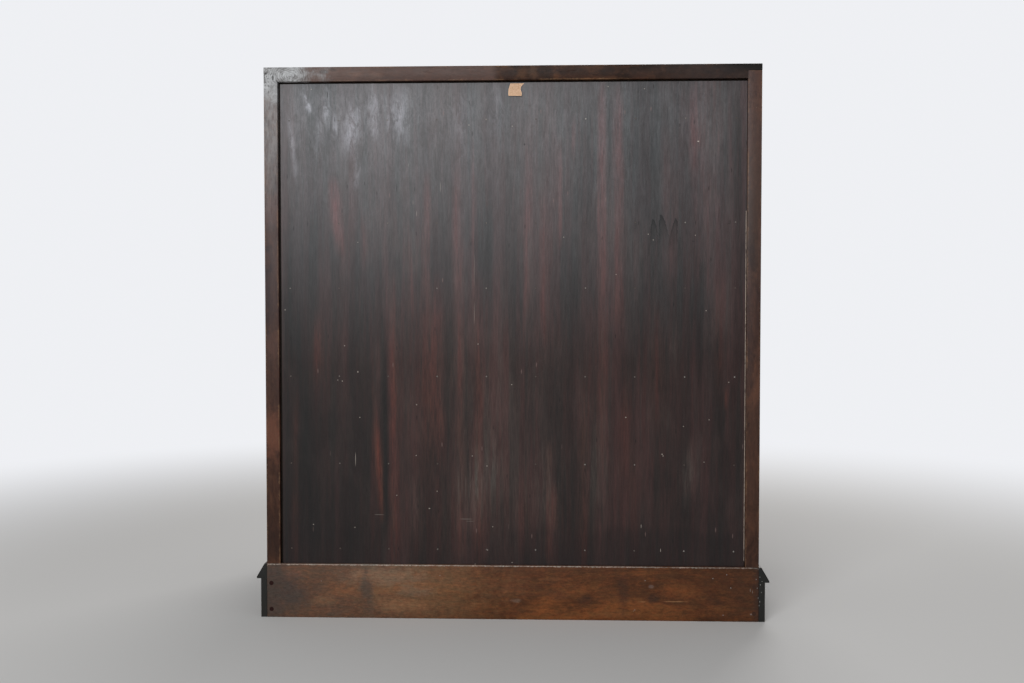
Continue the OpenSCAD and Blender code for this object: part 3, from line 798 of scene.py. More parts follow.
@dataclass(frozen=True)
class PaleWood:
    """Bare wood of drawer boxes and runners, yellowed, with dusty corners and a few stains."""

    name: str
    light: Colour = (0.42, 0.27, 0.14)
    dark: Colour = (0.24, 0.135, 0.065)
    grime: Colour = (0.09, 0.06, 0.04)
    gloss: float = 0.3

    def material(self) -> bpy.types.Material:
        """Builds the material."""
        g = Graph(self.name)
        board = Board.read(g)
        along = board.grain(0.05)
        ring = board.ring(along, g.noise(along, 7.0, 3.0, 0.6), 0.05)
        late = g.step((ring * 170.0).apply("FRACT"), 0.35, 0.95) * 0.55
        colour = g.mix(late, self.light, self.dark)
        streak = g.noise(along, 160.0, 4.0, 0.7)
        colour = g.mix(g.step(streak, 0.45, 0.75, 0.0, 0.5), colour, self.dark)
        fibre = g.step(g.noise(board.grain(0.03), 1100.0, 2.0, 0.7), 0.58, 0.72)
        colour = g.mix(fibre * 0.35, colour, self.grime)
        stain = g.noise(board.spot, 13.0, 5.0, 0.6, 0.8)
        colour = g.mix(g.step(stain, 0.55, 0.78, 0.0, 0.45), colour, self.grime)
        edge = board.to_edge() + g.noise(board.spot, 90.0, 3.0) * 0.006
        colour = g.mix(g.step(edge, 0.0, 0.01, 0.35, 0.0), colour, self.grime)
        colour = g.mix(board.end_grain() * 0.45, colour, self.dark)
        normal = g.bump(late, 0.08 * MM, g.bump(1.0 - fibre, 0.12 * MM))
        # Painted shade on the wood behind the back sheet.
        colour, rough = board.run_through(g, colour, 0.6 + streak * 0.2)
        return g.surface(Base_Color=colour, Roughness=rough, Normal=normal, Specular_IOR_Level=self.gloss)


@dataclass(frozen=True)
class PanelStain:
    """Black brown stain on the plywood back, with red streaks, scuffs, a cloudy old varnish with the painted
    sheen of the window's reflection in it, and a painted highlight on its lit bare edge.
    """

    name: str = "panel_stain"
    black: Colour = (0.0085, 0.0075, 0.0075)
    brown: Colour = (0.036, 0.0185, 0.0165)
    red: Colour = (0.115, 0.034, 0.023)
    ply: Colour = (0.42, 0.33, 0.27)
    haze: Colour = (0.27, 0.27, 0.28)
    wisp: Colour = (0.42, 0.415, 0.455)
    pale: Colour = (0.5, 0.44, 0.38)
    tan: Colour = (0.066, 0.0315, 0.029)
    smoke: Colour = (0.07, 0.043, 0.038)
    shade: Colour = (0.014, 0.0088, 0.0088)
    soot: Colour = (0.005, 0.0055, 0.0055)
    dust: Colour = (0.115, 0.1, 0.085)
    blush: Colour = (0.16, 0.078, 0.086)
    cool: Colour = (0.89, 1.02, 1.025)
    warm: Colour = (1.13, 0.975, 0.985)
    tick: Colour = (0.17, 0.11, 0.1)
    dot: Colour = (0.002, 0.002, 0.002)
    wet: Colour = (0.012, 0.012, 0.012)
    crack: Colour = (0.004, 0.004, 0.004)
    gloss: float = 0.3
    nicks: tuple[Nick, ...] = listed(
        Nick, (281, 453, 0.9, 1.6), (318, 438, 0.7, 0.9), (173, 393, 1.0, 1.2, 0.5), (210, 226, 1.0, 1.0),
        (150, 202, 1.4, 1.0, 0.6), (134.5, 127, 0.9, 0.9), (43, 126, 0.9, 0.9), (44, 281, 0.9, 0.9),
        (-257.5, 693, 1.0, 1.0, 0.6), (-337.5, 870, 1.7, 1.0, 0.9), (286, 292, 0.55, 12, 0.45),
        (242.5, 190, 9, 0.6, 0.2), (82, 183, 12, 0.6, 0.2), (75, 179, 8, 0.5, 0.16), (-209, 371, 1.1, 1.1),
        (-313.5, 355, 0.9, 0.9, 0.6), (-275, 304, 1.1, 1.1), (-237.5, 172, 0.6, 3.5, 0.5),
        (-273, 128, 0.6, 3.0, 0.6), (-351, 290, 1.0, 1.0, 0.5), (128.5, 790, 0.6, 9, 0.3),
        (178.5, 762, 0.5, 4, 0.3), (172, 742, 0.5, 5, 0.3), (187, 830, 0.5, 3, 0.25),
        (67, 560, 0.5, 20, 0.2), (67, 640, 0.5, 30, 0.16), (280, 690, 1.2, 0.8, 0.35),
        (90, 250, 0.5, 30, 0.1), (83, 240, 0.4, 22, 0.1), (75, 262, 0.5, 26, 0.1), (55, 250, 0.4, 20, 0.1),
        (61, 232, 0.4, 15, 0.1),
    )
    cracks: tuple[Nick, ...] = listed(
        Nick, (334, 958, 0.8, 6, 0.85), (264, 912, 0.7, 10, 0.8), (208, 788, 0.7, 8, 0.9),
        (198.5, 855, 0.5, 5, 0.6), (322, 914, 0.8, 5, 0.5), (391, 882, 0.5, 8, 0.4),
        (-24.5, 866, 1.4, 2.0, 0.7), (-304, 899, 1.6, 3.0, 0.4), (-329.5, 690, 2.6, 1.0, 0.4),
        (-393, 722, 4.0, 0.7, 0.35),
    )
    water: tuple[Tongue, ...] = listed(
        Tongue, (-271.5, 740.0, 11.0, 60.0, 8.0), (-257.5, 732.0, 9.0, 54.0, 2.0),
        (-298.5, 734.0, 8.5, 60.0, -7.0),
    )

    # The film mark holds the cloudy varnish together with the painted sheen of the window's reflection.
    MARKS: ClassVar[tuple[str, ...]] = ("red", "black", "dust", "wisp", "film", "foot", "edge")
    GLUE_LAYERS: ClassVar[float] = 0.9 * MM

    def ground(self, g: Graph, board: Board, foot: Signal, thread: Signal) -> Signal:
        """Lays the stain in broad bands and fine threads, darker along the bottom.

        Args:
            g: The tree.
            board: The place on the sheet.
            foot: The share of the dark band along the bottom.
            thread: Fine noise along the grain.

        Returns:
            The colour.
        """
        soft = g.noise(board.grain(0.06), 15.0, 2.0, 0.5)
        colour = g.mix(g.step(soft, 0.36, 0.62, 0.25, 0.8), self.black, self.brown)
        tint = g.noise(board.grain(0.045), 30.0, 1.5, 0.5)
        colour = g.mix(g.step(tint, 0.48, 0.66, 0.0, 0.42), colour, self.tan)
        colour = g.mix(g.step(thread, 0.42, 0.66, 0.0, 0.26), colour, self.black)
        smoke = g.noise(board.grain(0.35), 13.0, 4.0, 0.55, 0.3)
        colour = g.mix(g.step(smoke, 0.5, 0.66, 0.0, 0.4), colour, self.black)
        colour = g.mix(g.step(smoke, 0.32, 0.48, 0.3, 0.0), colour, self.smoke)
        return g.mix(foot * g.step(soft, 0.36, 0.62, 0.75, 0.45), colour, self.shade)

    def hazed(self, g: Graph, board: Board, colour: Signal, film: Signal, drip: Signal) -> Signal:
        """Clouds the varnish and paints the window's sheen over it, both as the same grey.

        Args:
            g: The tree.
            board: The place on the sheet.
            colour: The colour under the grey of the varnish and its painted sheen.
            film: The share of cloudy varnish and painted sheen.
            drip: Broad noise along the grain.

        Returns:
            The new colour.
        """
        wide = g.step(drip, 0.36, 0.64, -0.5, 0.5) * (film * film * 0.45)
        wide = wide + g.step(g.noise(board.grain(0.04), 21.0, 2.0, 0.5), 0.36, 0.64, 0.33, 0.45)
        return g.mix((film * wide).clamped(), colour, self.haze)

    def tinted(self, g: Graph, board: Board, colour: Signal, film: Signal) -> Signal:
        """Varies the hue from cool to warm across the grain, least where the cloudy varnish and its painted
        sheen are strong.

        Args:
            g: The tree.
            board: The place on the sheet.
            colour: The colour of the stain.
            film: The share of cloudy varnish and painted sheen.

        Returns:
            The new colour.
        """
        hue = g.step(g.noise(board.grain(0.045), 105.0, 2.0, 0.55), 0.34, 0.66)
        hue = g.mix(hue, self.cool, self.warm)
        return g.mix(1.0 - film * 0.9, colour, hue, "MULTIPLY")

    def wisped(self, g: Graph, board: Board, colour: Signal, film: Signal, wisp: Signal) -> Signal:
        """Lays pale wisps over the cloudy varnish, with more of them where its painted sheen is strong.

        Args:
            g: The tree.
            board: The place on the sheet.
            colour: The colour under the wisps.
            film: The share of cloudy varnish and painted sheen.
            wisp: The strength of the wisps.

        Returns:
            The new colour.
        """
        cloud = g.noise(board.grain(0.4), 70.0, 6.0, 0.72, 0.6)
        share = (wisp * 0.8 + film * film * 0.22) * g.step(cloud, 0.4, 0.6, 0.22, 1.0)
        return g.mix(share.clamped(), colour, self.wisp)

    def specked(self, g: Graph, spot: Signal, colour: Signal) -> Signal:
        """Scatters pale specks and short dark and pale ticks.

        Args:
            g: The tree.
            spot: Where the pattern is read, along and across the grain.
            colour: The colour under them.

        Returns:
            The new colour.
        """
        distance, kind = g.cells(spot, 15.0, "2D")
        colour = g.mix(g.step(distance, 0.009, 0.018, 0.6, 0.0) * (kind.x > 0.88), colour, self.pale)
        distance, kind = g.cells(spot * (0.22, 1.0, 1.0), 30.0, "2D")
        near = g.step(distance, 0.01, 0.04, 0.6, 0.0)
        colour = g.mix(near * (kind.x > 0.85), colour, self.tick)
        return g.mix(near * (kind.y < 0.4), colour, self.dot)

    def bare_edge(self, g: Graph, board: Board, colour: Signal, edge: Signal) -> Signal:
        """Shows the plywood's layers where its edge is bare, pale also as a painted highlight of the lit
        edge.

        Args:
            g: The tree.
            board: The place on the sheet.
            colour: The colour of the stain.
            edge: The share of bare edge and painted highlight.

        Returns:
            The new colour.
        """
        layers = g.mix(abs(board.place.z) < self.GLUE_LAYERS, self.ply, dimmed(self.ply, 0.5))
        broken = g.step(g.noise(board.spot, 70.0, 4.0, 0.7), 0.35, 0.55, 0.35, 1.0)
        return g.mix(g.step(edge, 0.55, 0.8) * broken, colour, layers)

    def material(self) -> bpy.types.Material:
        """Builds the material."""
        g = Graph(self.name)
        board = Board.read(g)
        # The film mark is cloudy varnish plus the painted sheen of the window's reflection. The grey, the
        # pink on red streaks, the hue, the wisps, the curl and the roughness below all follow it.
        red, black, dust, wisp, varnish, foot, edge = (g.attribute(name) for name in self.MARKS)
        film = varnish * (1.0 - black * 0.6)
        thread = g.noise(board.grain(0.07), 150.0, 3.0, 0.65)
        torn = g.noise(board.grain(0.1), 200.0, 5.0, 0.72)
        drip = g.noise(board.grain(0.3), 40.0, 5.0, 0.62, 0.4)
        fine = g.noise(board.grain(0.09), 430.0, 3.0, 0.65)
        colour = self.ground(g, board, foot, thread)
        colour = g.mix(red * g.step(torn, 0.36, 0.6, 0.4, 1.0), colour, self.red)
        colour = g.mix(black, colour, self.soot)
        colour = g.mix(dust * g.step(torn, 0.38, 0.66, 0.25, 1.0), colour, self.dust)
        # Painted sheen: the window's reflection is laid into the colour as grey.
        colour = self.hazed(g, board, colour, film, drip)
        blush = (red * film * g.step(torn, 0.36, 0.6, 0.8, 1.5)).clamped()
        colour = self.tinted(g, board, g.mix(blush, colour, self.blush), film)
        colour = self.wisped(g, board, colour, film, wisp)
        for tongue in self.water:
            colour = tongue.over(g, colour, self.wet)
        colour = self.specked(g, board.spot, colour)
        colour = Nick.lay(g, colour, self.nicks, self.pale, SHEET_FACE)
        colour = Nick.lay(g, colour, self.cracks, self.crack, SHEET_FACE)
        curl = (g.noise(board.grain(0.5), 240.0, 5.0, 0.75, 0.7) - 0.5) * (film * film) * 3.0
        colour = g.mix(1.0, colour, g.grey(0.5 + fine + curl), "MULTIPLY")
        colour = self.bare_edge(g, board, colour, edge)
        rough = (0.3 + drip * 0.16 + film * 0.06).clamped()
        normal = g.bump(fine, 0.04 * MM, g.bump(thread, 0.06 * MM))
        normal = g.bump(g.noise(board.grain(0.2), 75.0, 5.0, 0.6), 0.5 * MM, normal)
        return g.surface(Base_Color=colour, Roughness=rough, Normal=normal, Specular_IOR_Level=self.gloss)


@dataclass(frozen=True)
class OldMetal:
    """Metal dulled by age, brighter where hands rub it."""

    name: str
    bright: Colour
    dull: Colour
    grime: Colour
    rough: float = 0.34

    def material(self) -> bpy.types.Material:
        """Builds the material."""
        g = Graph(self.name)
        where = g.here()
        cloud = g.noise(where, 85.0, 4.0, 0.6, 0.4)
        colour = g.mix(g.step(cloud, 0.38, 0.68), self.bright, self.dull)
        spots = g.step(g.noise(where, 520.0, 4.0, 0.65), 0.56, 0.72)
        colour = g.mix(spots * 0.6, colour, self.grime)
        hollow = g.step(g.add("NewGeometry", output="Pointiness"), 0.44, 0.5, 0.7, 0.0)
        colour = g.mix(hollow, colour, self.grime)
        rough = (self.rough + cloud * 0.22 + spots * 0.15).clamped()
        normal = g.bump(g.noise(where, 900.0, 3.0, 0.6), 0.03 * MM)
        return g.surface(Base_Color=colour, Roughness=rough, Normal=normal, Metallic=1.0)


@dataclass(frozen=True)
class BradMetal:
    """Brad heads, most of them stained over with the panel and a few rubbed bright."""

    name: str = "brad_steel"
    bare: tuple[Colour, Colour] = ((0.62, 0.6, 0.56), (0.3, 0.27, 0.24))
    stained: tuple[Colour, Colour] = ((0.03, 0.022, 0.02), (0.09, 0.06, 0.045))

    def material(self) -> bpy.types.Material:
        """Builds the material."""
        g = Graph(self.name)
        where = g.here()
        each = g.noise(where * (1.0, 0.0, 1.0), 31.0, 0.0)
        rubbed = g.step(each, 0.5, 0.62) * g.step(where.x, -0.2, 0.25, 0.5, 0.15)
        scale = g.noise(where, 1400.0, 3.0, 0.6)
        colour = g.mix(rubbed, g.mix(scale, *self.stained), g.mix(scale, *self.bare))
        rough = 0.35 + scale * 0.3
        normal = g.bump(scale, 0.04 * MM)
        return g.surface(Base_Color=colour, Roughness=rough, Metallic=rubbed * 0.75, Normal=normal)


@dataclass(frozen=True)
class OldPaper:
    """Brown gummed paper, paler along its torn edges."""

    name: str = "gummed_paper"
    dark: Colour = (0.54, 0.33, 0.197)
    light: Colour = (0.713, 0.47, 0.315)
    stained: Colour = (0.45, 0.24, 0.12)
    torn: Colour = (0.8, 0.52, 0.33)

    def material(self) -> bpy.types.Material:
        """Builds the material."""
        g = Graph(self.name)
        where = g.here()
        fibre = g.noise(where, 700.0, 4.0, 0.7)
        colour = g.mix(g.step(fibre, 0.35, 0.7), self.dark, self.light)
        stain = g.noise(where, 190.0, 3.0, 0.6)
        colour = g.mix(g.step(stain, 0.5, 0.75, 0.0, 0.6), colour, self.stained)
        colour = g.mix(g.attribute("torn"), colour, self.torn)
        return g.surface(Base_Color=colour, Roughness=0.75, Normal=g.bump(fibre, 0.1 * MM))


@dataclass(frozen=True)
class StudioFloor:
    """A plain pale floor that fades into the white of the studio."""

    name: str = "studio_floor"
    colour: Colour = (0.66, 0.645, 0.63)
    rough: float = 0.85
    near: float = 0.95
    far: float = 2.6

    def material(self) -> bpy.types.Material:
        """Builds the material."""
        g = Graph(self.name)
        base = g.add("BsdfPrincipled", {"Base Color": rgba(self.colour), "Roughness": self.rough})
        glow = g.add("Emission", {"Color": rgba(STUDIO_WHITE)})
        away = (g.here() * (1.0, 1.0, 0.0)).length()
        share = g.step(away, self.near, self.far) * g.add("LightPath", output="Is Camera Ray")
        g.node("OutputMaterial", {0: g.add("MixShader", {0: share, 1: base, 2: glow})})
        return g.material


CASE_CLOUDS = listed(
    Cloud, (438, 600, 30, 92, 0.5, (0.026, 0.0165, 0.0175)), (438, 500, 30, 24, 0.3, (0.12, 0.055, 0.04)),
    (438, 338, 30, 48, 0.6, (0.165, 0.062, 0.036)), (438, 138, 30, 36, 0.6, (0.024, 0.012, 0.0095)),
    (438, 744, 30, 30, 0.25, (0.15, 0.08, 0.07)), (438, 246, 30, 22, 0.2, (0.035, 0.017, 0.013)),
    (-441, 780, 30, 180, 0.35, (0.1, 0.052, 0.03)), (-441, 300, 30, 160, 0.25, (0.09, 0.042, 0.026)),
)

# Painted sheen on the case: grey that grows upwards, and torn grey toward the top corner on the +X side as
# the window's painted highlight.
CASE_SHEEN = listed(
    Gradient, ((0.0, 0.0, 1.0), 0.15, 0.95, 0.065, (0.3, 0.29, 0.34)),
    ((1.0, 1.0, 1.0), 1.37, 1.6, 0.58, (0.34, 0.325, 0.325), 0.5),
)

CASE_DENTS = listed(
    Nick, (433, 988, 2.2, 4.6, 0.75), (446, 996, 1.1, 2.2, 0.9), (441, 962, 0.8, 3.0, 0.5),
)

TOP_CLOUDS = listed(
    Cloud, (7, 992, 12, 16, 0.45, (0.02, 0.009, 0.0065)), (-20, 991, 12, 12, 0.5, (0.1, 0.042, 0.018)),
    (-41, 994, 9, 16, 0.45, (0.11, 0.055, 0.03)), (-62, 995, 11, 14, 0.5, (0.02, 0.011, 0.008)),
    (-82, 987, 8, 8, 0.45, (0.11, 0.044, 0.018)), (-173, 992, 18, 12, 0.5, (0.02, 0.01, 0.0075)),
    (-229, 990, 30, 9, 0.3, (0.07, 0.034, 0.024)), (285, 994, 14, 5, 0.5, (0.16, 0.08, 0.048)),
    (245, 990, 16, 8, 0.3, (0.13, 0.07, 0.042)), (215, 998, 18, 5, 0.4, (0.03, 0.021, 0.019)),
)

# Painted light and shade on the top: lighter toward +X, the window's side, and darker toward -X and along its
# upper edge there.
TOP_LIGHT_AND_SHADE = listed(
    Gradient, ((1.0, 0.0, 0.0), 0.02, 0.036, 0.34, (0.19, 0.122, 0.108), 0.0, True),
    ((1.0, 0.0, 0.0), 0.16, 0.34, 0.16, (0.15, 0.135, 0.14), 0.0, True),
    ((-1.0, 0.0, 0.0), 0.2, 0.36, 0.5, (0.04, 0.034, 0.034), 0.0, True),
    ((-0.25, 0.0, 1.0), 1.088, 1.11, 0.8, (0.0075, 0.0078, 0.0074), 0.0, True),
)

TOP_DENTS = listed(
    Nick, (446, 996, 1.1, 2.2, 0.9), (340, 998, 9.0, 4.0, 0.4), (322, 1001, 7.0, 3.0, 0.35),
)

PLUG_VEILS = listed(
    Gradient, ((-1.0, 0.0, 0.0), -0.1, 0.1, 0.85, (0.055, 0.0265, 0.017)),
)

# Painted light and shade on the plinth: lighter toward +X, the window's side, and darker toward -X and at its
# -X end.
PLINTH_LIGHT_AND_SHADE = listed(
    Gradient, ((1.0, 0.0, 0.0), 0.0, 0.35, 0.14, (0.24, 0.215, 0.18)),
    ((-1.0, 0.0, 0.0), 0.12, 0.47, 0.38, (0.035, 0.016, 0.01)),
    ((-1.0, 0.0, 0.0), 0.432, 0.456, 0.65, (0.02, 0.018, 0.019)),
)

PLINTH_NICKS = listed(
    Nick, (-445, 78, 0.8, 0.9, 0.5), (-447, 62, 0.8, 1.2, 0.4), (-449, 44, 0.7, 1.5, 0.5),
    (-434.5, 58, 0.5, 3.0, 0.4), (-438.5, 55, 0.5, 3.0, 0.3), (-399.5, 62, 0.9, 1.2, 0.5),
    (-392, 86, 0.9, 0.9, 0.6), (-367, 79, 0.9, 0.9, 0.6), (-255.5, 63, 5.0, 3.5, 0.12),
    (-244.5, 74, 1.0, 1.0, 0.4), (-436.5, 14, 2.4, 1.6, 0.25), (-386, 12, 1.6, 1.0, 0.3),
    (-226, 20, 0.8, 1.6, 0.3), (130, 80, 0.9, 0.9, 0.3), (349, 68, 0.8, 1.0, 0.3),
)

PLINTH_CLOUDS = listed(
    Cloud, (150, 55, 130, 70, 0.45, (0.2, 0.098, 0.042)), (235, 80, 80, 22, 0.35, (0.22, 0.15, 0.1)),
    (205, 24, 60, 13, 0.4, (0.27, 0.125, 0.055)), (172, 50, 38, 11, 0.3, (0.17, 0.125, 0.09)),
    (402, 82, 22, 8, 0.6, (0.15, 0.055, 0.03)), (396, 43, 34, 26, 0.75, (0.03, 0.0175, 0.0165)),
    (442, 50, 46, 90, 0.85, (0.032, 0.0165, 0.0145)), (343, 31, 26, 9, 0.4, (0.22, 0.1, 0.042)),
    (352, 57, 13, 9, 0.4, (0.045, 0.028, 0.02)), (322, 10, 16, 7, 0.4, (0.05, 0.03, 0.022)),
    (278, 78, 5, 8, 0.3, (0.22, 0.11, 0.05)), (266, 56, 13, 30, 0.75, (0.045, 0.028, 0.022)),
    (266, 86, 5, 7, 0.5, (0.05, 0.03, 0.022)), (260, 20, 12, 16, 0.45, (0.05, 0.03, 0.022)),
    (40, 42, 26, 5, 0.35, (0.07, 0.032, 0.018)), (-9.5, 35, 10, 4, 0.35, (0.2, 0.15, 0.12)),
    (0, 65, 40, 30, 0.2, (0.2, 0.08, 0.035)), (-77.5, 75, 32, 4, 0.4, (0.2, 0.075, 0.03)),
    (-84, 46, 20, 14, 0.4, (0.05, 0.022, 0.013)), (-136.5, 36, 13, 12, 0.45, (0.04, 0.018, 0.012)),
    (-205, 50, 12, 42, 0.5, (0.045, 0.02, 0.013)), (-185.5, 12, 45, 8, 0.35, (0.2, 0.08, 0.03)),
    (-258.5, 40, 12, 9, 0.5, (0.03, 0.018, 0.014)), (-369, 37, 16, 15, 0.35, (0.04, 0.018, 0.012)),
    (-308.5, 56, 36, 16, 0.4, (0.24, 0.075, 0.022)), (-299, 36, 20, 1.3, 0.5, (0.42, 0.22, 0.1)),
    (-239.5, 35, 10, 1.2, 0.4, (0.38, 0.2, 0.09)), (-421, 50, 30, 60, 0.3, (0.075, 0.034, 0.018)),
)

FACING_NICKS = listed(
    Nick, (-452, 82, 0.9, 0.7, 0.5), (-453, 68, 0.7, 1.2, 0.6), (-455, 54, 0.8, 0.8, 0.5),
    (-452, 37, 0.6, 1.4, 0.6), (-451, 30, 0.6, 1.0, 0.5), (-456, 74, 1.2, 0.7, 0.4),
)


Finish = StainedWood | PaleWood | PanelStain | OldMetal | BradMetal | OldPaper | StudioFloor


@dataclass
class Palette:
    """Every finish of the bureau, each built once."""

    materials: dict[str, bpy.types.Material] = field(default_factory=dict)

    FINISHES: ClassVar[tuple[Finish, ...]] = (
        # Case and top: a painted highlight near the +X top corner.
        StainedWood(Wood.CASE.value, (0.031, 0.0135, 0.0092), (0.074, 0.0322, 0.0205),
                    (0.116, 0.048, 0.0255), patches=0.75, gloss=0.2, bloom=0.85, mottle=0.3, grit=0.5,
                    clouds=CASE_CLOUDS, veils=CASE_SHEEN, dents=CASE_DENTS),
        StainedWood(Wood.TOP.value, (0.021, 0.009, 0.0054), (0.052, 0.022, 0.0125), (0.1, 0.04, 0.018),
                    patches=0.6, gloss=0.12, bloom=0.85, mottle=0.4, grit=0.7, clouds=TOP_CLOUDS,
                    veils=TOP_LIGHT_AND_SHADE, dents=TOP_DENTS),
        StainedWood(Wood.PLUG.value, (0.017, 0.0055, 0.005), (0.028, 0.0088, 0.0075), (0.04, 0.0125, 0.01),
                    wear=0.0, patches=0.2, gloss=0.1, rough=0.6, veils=PLUG_VEILS),
        # Plinth: its pale top edge is wear plus a painted highlight of the lit edge, and its gradients are
        # painted light and shade.
        StainedWood(Wood.PLINTH.value, (0.085, 0.0305, 0.012), (0.16, 0.0545, 0.018),
                    (0.215, 0.0725, 0.022), bare=(0.45, 0.37, 0.32), wear=0.95, worn_from=0.28,
                    worn_above=0.0955, reach=0.0022, patches=0.3, figure=0.15, rough=0.5, gloss=0.16,
                    mottle=0.34, grit=1.45, veils=PLINTH_LIGHT_AND_SHADE, nicks=PLINTH_NICKS, clouds=PLINTH_CLOUDS),
        # Facing: near-black end grain, which is the wood's dark end grain plus painted shade of the shadowed
        # ends.
        StainedWood(Wood.FACING.value, (0.022, 0.0095, 0.0062), (0.052, 0.0225, 0.013),
                    (0.088, 0.036, 0.018), bare=(0.2, 0.13, 0.085), wear=0.5, worn_before=REAR_FACE,
                    patches=0.4, gloss=0.3, rough=0.4, cut=0.96, end=(0.0125, 0.013, 0.012),
                    nicks=FACING_NICKS),
        StainedWood(Wood.DARK.value, (0.0085, 0.0065, 0.0052), (0.018, 0.013, 0.0098),
                    (0.034, 0.021, 0.014), bare=(0.16, 0.13, 0.1), wear=0.5, patches=0.35, gloss=0.15,
                    rough=0.5),
        StainedWood(Wood.FRONT.value, (0.042, 0.0165, 0.0095), (0.115, 0.047, 0.0235), (0.16, 0.064, 0.03),
                    wear=0.35, patches=0.1, blotchy=0.3, rough=0.34, gloss=0.5, ripple=0.2),
        PaleWood(Wood.PALE.value),
        PanelStain(),
        OldMetal("old_brass", (0.72, 0.5, 0.2), (0.42, 0.27, 0.1), (0.09, 0.055, 0.025)),
        OldMetal("old_steel", (0.5, 0.49, 0.47), (0.28, 0.26, 0.24), (0.1, 0.065, 0.045), rough=0.4),
        BradMetal(),
        OldPaper(),
        StudioFloor(),
    )

    def build(self) -> Palette:
        """Builds all materials and gives the palette."""
        for finish in self.FINISHES:
            self.materials[finish.name] = finish.material()
            log.info("finish %s", finish.name)
        return self

    def __getitem__(self, name: str) -> bpy.types.Material:
        """Gives the finish of that name."""
        return self.materials[name]


# joiner's work


@dataclass(frozen=True)
class Axes:
    """Three directions that a group of boards lies along."""

    across: Vector
    depth: Vector
    up: Vector

    @classmethod
    def square(cls) -> Axes:
        """Gives the bureau's own directions."""
        return cls(Vector((1, 0, 0)), Vector((0, 1, 0)), Vector((0, 0, 1)))

    @classmethod
    def sloping(cls) -> Axes:
        """Gives the closed flap's directions, with up along its slope."""
        up = Vector((0, math.sin(SLOPE), math.cos(SLOPE)))
        return cls(Vector((1, 0, 0)), Vector((0, math.cos(SLOPE), -math.sin(SLOPE))), up)

    def local(self, point: Vector) -> Vector:
        """Gives a point's place along the three directions."""
        return Vector((self.across.dot(point), self.depth.dot(point), self.up.dot(point)))


@dataclass(frozen=True)
class Extent:
    """The lowest and highest corners of one solid along its group's directions."""

    low: Vector
    high: Vector

    SKIN: ClassVar[float] = 0.00002

    @classmethod
    def of(cls, points: Iterable[Vector]) -> Extent:
        """Measures points."""
        spread = list(zip(*points))
        return cls(Vector([min(values) for values in spread]), Vector([max(values) for values in spread]))

    def size(self) -> Vector:
        """Gives the lengths of the sides."""
        return self.high - self.low

    def order(self, grain: Grain) -> tuple[int, int, int]:
        """Gives which direction runs along, across and through the board.

        Args:
            grain: The way the grain runs.

        Returns:
            Three places, for along, across and through.
        """
        size = self.size()
        fixed = {Grain.ACROSS: 0, Grain.DEPTH: 1, Grain.UPRIGHT: 2}
        along = fixed.get(grain, max(range(3), key=lambda i: size[i]))
        rest = sorted((i for i in range(3) if i != along), key=lambda i: -size[i])
        return along, rest[0], rest[1]

    def inside(self, point: Vector) -> bool:
        """Tells whether a point lies off all six sides."""
        return all(self.low[i] + self.SKIN < point[i] < self.high[i] - self.SKIN for i in range(3))


def solids(bm: bmesh.types.BMesh) -> list[list[bmesh.types.BMVert]]:
    """Parts a mesh into its separate solids.

    Args:
        bm: The mesh.

    Returns:
        The vertices of each solid, in the mesh's order.
    """
    bm.verts.index_update()
    found: list[list[bmesh.types.BMVert]] = []
    seen: set[int] = set()
    for first in bm.verts:
        if first.index in seen:
            continue
        group, todo = [], [first]
        seen.add(first.index)
        while todo:
            vert = todo.pop()
            group.append(vert)
            for edge in vert.link_edges:
                other = edge.other_vert(vert)
                if other.index not in seen:
                    seen.add(other.index)
                    todo.append(other)
        found.append(group)
    return found


def in_scene(name: str, data: bpy.types.ID) -> bpy.types.Object:
    """Puts a new object into the scene.

    Args:
        name: The object's name.
        data: Its mesh, lamp or camera.

    Returns:
        The object.
    """
    thing = bpy.data.objects.new(name, data)
    bpy.context.scene.collection.objects.link(thing)
    return thing


def shaped(bm: bmesh.types.BMesh, name: str, materials: Iterable[bpy.types.Material],
           sharp: float | None = None) -> bpy.types.Object:
    """Turns a finished mesh into an object of the scene.

    Args:
        bm: The mesh, which is freed.
        name: The object's name.
        materials: Its materials, in the order of their places.
        sharp: The angle in degrees from which an edge stays sharp, or None where no edge is smoothed.

    Returns:
        The object.
    """
    mesh = bpy.data.meshes.new(name)
    bm.to_mesh(mesh)
    bm.free()
    for spare in ("custom_normal", "UVMap"):
        if spare in mesh.attributes:
            mesh.attributes.remove(mesh.attributes[spare])
    for material in materials:
        mesh.materials.append(material)
    if sharp is not None:
        mesh.shade_smooth()
        mesh.set_sharp_from_angle(angle=math.radians(sharp))
    return in_scene(name, mesh)


def place(piece: bpy.types.Object, node: str, nodes: dict[str, bpy.types.Object]) -> bpy.types.Object:
    """Puts a piece in a node's place.

    Args:
        piece: The piece, already where it belongs.
        node: The node that it stands for.
        nodes: The frame's nodes.

    Returns:
        The piece.
    """
    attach(piece, nodes[node]["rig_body"])
    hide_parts(node)
    log.info("piece %s for %s", piece.name, node)
    return piece


class BoardLayers:
    """The mesh attributes that tell a finish its place on a board.

    Args:
        bm: The mesh, which gets them.
    """

    def __init__(self, bm: bmesh.types.BMesh) -> None:
        """Adds the attributes."""
        layers = bm.verts.layers.float_vector
        self.place, self.half, self.seed = (layers.new(name) for name in ("place", "half", "seed"))

    def write(self, vert: bmesh.types.BMVert, place: Sequence[float], half: Sequence[float],
              seed: Sequence[float]) -> None:
        """Writes one vertex's values.

        Args:
            vert: The vertex.
            place: Its place along, across and through the board, from the middle.
            half: Half the board's size in the same order.
            seed: The board's own shift of every pattern.
        """
        vert[self.place] = Vector(place)
        vert[self.half] = Vector(half)
        vert[self.seed] = Vector(seed)


FinishOf = Callable[[Extent], str]


